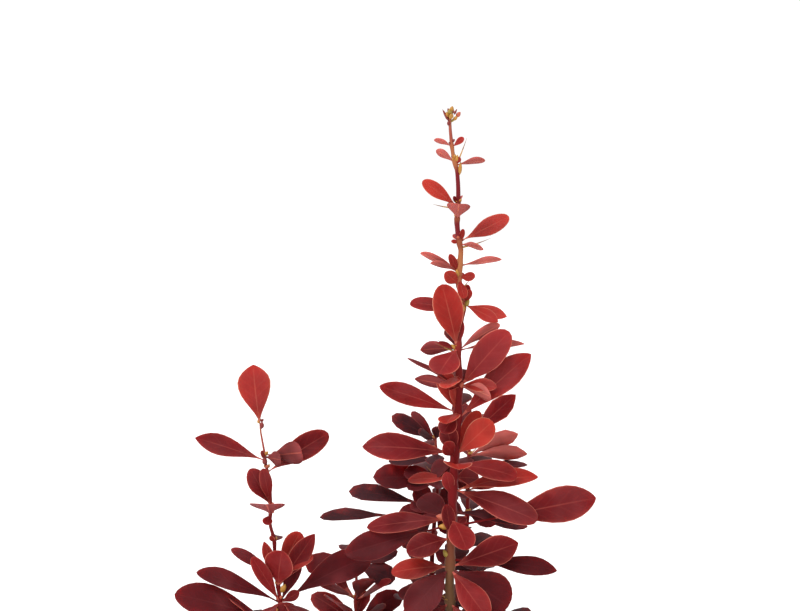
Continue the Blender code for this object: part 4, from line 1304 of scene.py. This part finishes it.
def furrow(made, depth):
    """Presses furrows into the trunk along its normals: a sum of sines of angle and height, folded at zero."""
    mesh = made.data
    points = np.empty(3 * len(mesh.vertices), dtype=np.float32)
    normals = np.empty(3 * len(mesh.vertices), dtype=np.float32)
    mesh.vertices.foreach_get("co", points)
    mesh.vertices.foreach_get("normal", normals)
    points, normals = points.reshape(-1, 3).astype(float), normals.reshape(-1, 3)
    angle = np.arctan2(points[:, 1], points[:, 0] - LEAN * points[:, 2])
    z = points[:, 2] / MM
    lines = np.abs(np.sin(11 * angle + 1.3 * np.sin(z / 4.1) + 0.5 * np.sin(7 * angle)))
    knots = np.sin(23 * angle + z / 2.3) * np.sin(z / 1.9 + 5 * angle)
    near = np.clip((CROWN_Z + CROWN_R - points[:, 2]) / (6 * MM), 0, 1)
    press = -(1 - lines) ** 3 + 0.3 * knots
    points += normals * (depth * press * near)[:, None]
    points[:, 2] = np.maximum(points[:, 2], 0)
    mesh.vertices.foreach_set("co", points.astype(np.float32).ravel())
    mesh.update()


SPINE_R = 0.42 * MM
SPINES_FROM = 175 * MM  # the distance from a front shoot's tip to the first spine of the rule


def spine_rings(bases, bearings, lengths):
    """Slender cones that bend a little upwards: radius * (1 - v)**0.8."""
    v = np.linspace(0, 0.97, 6)
    lift = np.array((0, 0, 0.12))
    centres = bases[:, None] + (bearings[:, None] * v[:, None] + lift * (v**2)[:, None]) * lengths[:, None, None]
    radii = SPINE_R * (1 - v[None]) ** 0.8 * np.ones((len(bases), 1))
    return tube_rings(centres, radii, sides=6)


def spine_places(shoot, growth):
    """Spines of one shoot, as bases, bearings and lengths: those that show, and one or two at each other node."""
    rng = random.Random(shoot.seed + 700)
    rows = []
    if shoot.name == "main":
        for height, facing, rise, length in FRONT_SPINES:
            base = along(growth.line, length_at(growth.line, height * MM)).place
            rows.append((base, polar(facing, rise), length * MM))
    for node in growth.nodes:
        turned = node.facing + rng.gauss(25, 12)
        length = rng.uniform(5, 9) * MM
        if shoot.name in FRONT_SHOOTS and node.from_tip < SPINES_FROM:
            continue
        rows.append((node.bud.place, polar(turned, rng.uniform(5, 40)), length))
        if rng.random() < 0.3:
            rows.append((node.bud.place, polar(turned + 70, rng.uniform(0, 30)), 0.7 * length))
    return rows


def node_buds(shoot, growth):
    """The buds in the axils of each node, as bases, bearings, lengths and radii, with a paint for each."""
    rng = random.Random(shoot.seed + 900)
    rows = []
    for node in growth.nodes:
        for k in range(3):
            bearing = polar(node.facing + TURN * k + rng.gauss(0, 12), rng.uniform(25, 60))
            thick = rng.uniform(0.45, 0.75) * MM
            base = node.bud.place + bearing * (0.3 * MM) + node.bud.bearing * rng.uniform(0, 1.2) * MM
            rows.append((base, bearing, 2.6 * thick, thick, rng.choice((1, 1, 2, 3))))
    return rows


# Larger buds that show on the front shoots: (shoot, height, facing, rise, length, radius, paint)
FRONT_BUDS = (
    ("main", 393.5, 350, 84, 5.4, 0.85, 1),
    ("main", 398.5, 330, 78, 3.0, 0.8, 1),
    ("main", 355, 250, 60, 3.2, 1.0, 1),
    ("main", 343.5, 330, 55, 3.4, 1.0, 0),
    ("main", 341.5, 285, 70, 3.0, 0.9, 1),
    ("main", 327, 200, 50, 3.0, 0.9, 1),
    ("main", 312.5, 300, 60, 2.8, 0.9, 2),
    ("main", 262, 185, 15, 5.0, 1.6, 2),
    ("main", 259, 195, 5, 4.2, 1.3, 1),
    ("main", 247, 200, 60, 4.0, 1.1, 0),
    ("left", 297.2, 300, 80, 3.0, 1.0, 3),
    ("left", 283.5, 250, 75, 3.4, 1.1, 3),
    ("left", 241, 190, 70, 4.0, 1.5, 1),
    ("left", 234.5, 330, 60, 4.0, 1.2, 1),
    ("left", 226, 240, 50, 4.4, 1.6, 1),
)


def shown_buds(shoot, growth):
    """The larger buds of one shoot, in the form of node_buds."""
    rows = []
    for name, height, facing, rise, length, thick, paint in FRONT_BUDS:
        if name == shoot.name:
            place = along(growth.line, length_at(growth.line, height * MM)).place
            base = place + polar(facing, 0) * (0.8 * thick * MM)
            rows.append((base, polar(facing, rise), length * MM, thick * MM, paint))
    return rows


# The opening buds round the leading tip, from foot to tip as (right, towards the viewer, above the stem's end),
# with the radius and the paint: 0 green, 1 yellow, 2 orange, 3 red
CLUSTER = (
    ((0.3, 0.5, 1.4), (1.0, 0.7, 3.6), 0.95, 1),
    ((0.0, 0.6, 0.3), (-0.3, 1.3, 2.4), 0.9, 0),
    ((0.3, 0.5, -1.3), (0.5, 1.7, 0.7), 1.0, 1),
    ((1.3, 0.3, -1.9), (2.9, 0.8, -0.1), 0.75, 1),
    ((2.4, 0.2, -0.6), (4.0, 0.5, 1.4), 0.95, 2),
    ((0.2, 0.2, -2.6), (2.6, 0.4, -0.6), 0.5, 0),
    ((-0.5, 0.5, -2.2), (-2.9, 0.9, 2.4), 0.6, 3),
    ((1.5, 0.7, 0.2), (2.7, 1.0, 2.6), 0.42, 3),
    ((-0.9, 0.6, -0.6), (-1.3, 1.2, 1.5), 0.7, 1),
    ((-0.4, 0.1, -4.0), (-0.5, 0.5, -1.8), 0.8, 3),
    ((0.4, -0.4, -1.0), (0.6, -2.0, 1.2), 0.95, 1),
    ((-0.6, -0.5, -1.6), (-1.6, -1.6, 0.6), 0.8, 0),
    ((0.9, -0.4, 0.6), (1.3, -1.3, 2.7), 0.7, 2),
    ((-0.2, -0.4, 0.9), (-0.8, -0.9, 2.9), 0.6, 3),
    ((0.2, 1.2, -1.4), (0.3, 3.2, 0.3), 0.7, 1),
    ((0.3, -1.2, -1.6), (0.1, -3.3, 0.2), 0.75, 2),
    ((0.1, 0.2, -1.0), (0.2, 0.0, 3.0), 0.9, 0),
)


def cluster_buds(tip):
    """The opening buds of the leading tip, as bases, bearings, lengths and radii, with a paint for each."""
    rows = []
    for foot, end, radius, paint in CLUSTER:
        base, point = (Vector((right, -near, above)) * MM for right, near, above in (foot, end))
        rows.append((tip + base, (point - base).normalized(), (point - base).length, radius * MM, paint))
    return rows


def pods(surface, rows):
    bases, bearings = (np.array([row[k] for row in rows]) for k in (0, 1))
    lengths, radii, slots = (np.array([row[k] for row in rows]) for k in (2, 3, 4))
    surface.loft(pod_rings(bases, bearings, lengths, radii), slots[:, None, None])


# Operators

growths = {}


def plant():
    """The growth of every shoot, worked out once."""
    if not growths:
        growths.update(grow_all())
    return growths


class BARBERRY_OT_studio(bpy.types.Operator):
    """White floor and surround, a soft key light, and the camera in front of the plant"""

    bl_idname = "barberry.studio"
    bl_label = "Studio"

    def execute(self, context):
        looks = context.scene.barberry_studio
        half = 30.0
        mesh = bpy.data.meshes.new("floor")
        mesh.from_pydata([(-half, -half, 0), (half, -half, 0), (half, half, 0), (-half, half, 0)], [], [(0, 1, 2, 3)])
        mesh.materials.append(Paint("floor_white", Base_Color=(0.93, 0.93, 0.93, 1), Roughness=0.9).material)
        floor = bpy.data.objects.new("floor", mesh)
        context.scene.collection.objects.link(floor)
        world = bpy.data.worlds.new("surround")
        world.use_nodes = True
        background = world.node_tree.nodes["Background"]
        background.inputs["Color"].default_value = (1, 1, 1, 1)
        background.inputs["Strength"].default_value = looks.sky
        context.scene.world = world
        lamp = bpy.data.lights.new("key", "SUN")
        lamp.energy = looks.key
        lamp.angle = math.radians(35)
        key = bpy.data.objects.new("key", lamp)
        towards = -polar(math.degrees(looks.key_facing), math.degrees(looks.key_rise))
        key.rotation_euler = towards.to_track_quat("-Z", "Y").to_euler()
        context.scene.collection.objects.link(key)
        lens = bpy.data.cameras.new("camera")
        lens.lens = looks.lens
        camera = bpy.data.objects.new("camera", lens)
        back = Vector((0, -math.cos(looks.tilt), math.sin(looks.tilt)))
        camera.location = Vector((0, 0, looks.aim)) + back * looks.distance
        camera.rotation_euler = (-back).to_track_quat("-Z", "Y").to_euler()
        context.scene.collection.objects.link(camera)
        context.scene.camera = camera
        context.scene.view_settings.view_transform = "Standard"
        return {"FINISHED"}


class BARBERRY_OT_bark(bpy.types.Operator):
    """Trunk and canes, grown into one another, with furrowed bark"""

    bl_idname = "barberry.bark"
    bl_label = "Bark"

    def execute(self, context):
        looks = context.scene.barberry_wood
        surface = Surface()
        surface.loft(trunk_rings())
        for shoot in SHOOTS:
            surface.loft(cane_rings(shoot, plant()[shoot.name]))
        rough = surface.finish("bark_grid", [bark_paint(looks)])
        grid = rough.modifiers.new("grid", "REMESH")
        grid.mode = "VOXEL"
        grid.voxel_size = looks.voxel
        even = rough.modifiers.new("even", "SMOOTH")
        even.iterations = 3
        bark = as_mesh(rough, "bark")
        furrow(bark, looks.fissure)
        bark.data.shade_smooth()
        dress(bark, "bark", "trunk", *("cane_" + shoot.name for shoot in SHOOTS))
        return {"FINISHED"}


class BARBERRY_OT_stems(bpy.types.Operator):
    """Fluted stems and side twigs"""

    bl_idname = "barberry.stems"
    bl_label = "Stems"

    def execute(self, context):
        looks = context.scene.barberry_wood
        surface = Surface()
        for shoot in SHOOTS:
            make_stem(surface, shoot, plant()[shoot.name], looks)
        make_twigs(surface, plant())
        dress(surface.finish("stems", [stem_paint(looks)]), "bark")
        return {"FINISHED"}


class BARBERRY_OT_leaves(bpy.types.Operator):
    """Leaves of every shoot, in their tints"""

    bl_idname = "barberry.leaves"
    bl_label = "Leaves"

    def execute(self, context):
        looks = context.scene.barberry_leaves
        paints = {kind: leaf_paints(looks, kind) for kind in ("front", "back")}
        for shoot in SHOOTS:
            kind = "front" if shoot.name in FRONT_SHOOTS else "back"
            make_leaves(shoot, plant()[shoot.name], looks, paints[kind])
        return {"FINISHED"}


class BARBERRY_OT_buds(bpy.types.Operator):
    """Buds at the nodes, and the opening cluster on the tip"""

    bl_idname = "barberry.buds"
    bl_label = "Buds"

    def execute(self, context):
        looks = context.scene.barberry_wood
        names = ("bud_green", "bud_yellow", "bud_orange", "bud_red")
        paints = [plain_paint(name, tuple(getattr(looks, name)), 0.45) for name in names]
        surface = Surface()
        for shoot in SHOOTS:
            growth = plant()[shoot.name]
            pods(surface, node_buds(shoot, growth) + shown_buds(shoot, growth))
        dress(surface.finish("node_buds", paints), "leaf_bright")
        cluster = Surface()
        pods(cluster, cluster_buds(plant()["main"].stem.points[-1]))
        dress(cluster.finish("tip_buds", paints), "leaf_bright")
        return {"FINISHED"}


class BARBERRY_OT_spines(bpy.types.Operator):
    """Slender spines at the nodes"""

    bl_idname = "barberry.spines"
    bl_label = "Spines"

    def execute(self, context):
        looks = context.scene.barberry_wood
        rows = [row for shoot in SHOOTS for row in spine_places(shoot, plant()[shoot.name])]
        bases, bearings = (np.array([row[k] for row in rows]) for k in (0, 1))
        lengths = np.array([row[2] for row in rows])
        rings = spine_rings(bases, bearings, lengths)
        slots = np.array((0, 0, 0, 1, 1))[None, :, None]
        surface = Surface()
        surface.loft(rings, slots)
        paints = [plain_paint("spine", tuple(looks.spine)), plain_paint("spine_tip", tuple(looks.spine_tip))]
        dress(surface.finish("spines", paints), "bark")
        return {"FINISHED"}


OPERATORS = (
    BARBERRY_OT_studio,
    BARBERRY_OT_bark,
    BARBERRY_OT_stems,
    BARBERRY_OT_leaves,
    BARBERRY_OT_buds,
    BARBERRY_OT_spines,
)


class BARBERRY_PT_panel(bpy.types.Panel):
    """Lists the steps"""

    bl_label = "Barberry"
    bl_space_type = "VIEW_3D"
    bl_region_type = "UI"
    bl_category = "Barberry"

    def draw(self, context):
        for step in OPERATORS:
            self.layout.operator(step.bl_idname)


SETTINGS = {"barberry_leaves": LeafLooks, "barberry_wood": WoodLooks, "barberry_studio": StudioLooks}


def register():
    for kind in (*SETTINGS.values(), *OPERATORS, BARBERRY_PT_panel):
        bpy.utils.register_class(kind)
    for name, kind in SETTINGS.items():
        setattr(bpy.types.Scene, name, PointerProperty(type=kind))


def unregister():
    for name in SETTINGS:
        delattr(bpy.types.Scene, name)
    for kind in (*SETTINGS.values(), *OPERATORS, BARBERRY_PT_panel):
        bpy.utils.unregister_class(kind)


def main():
    register()
    bpy.ops.barberry.studio()
    bpy.ops.barberry.bark()
    bpy.ops.barberry.stems()
    bpy.ops.barberry.leaves()
    bpy.ops.barberry.buds()
    bpy.ops.barberry.spines()


if __name__ == "__main__":
    main()
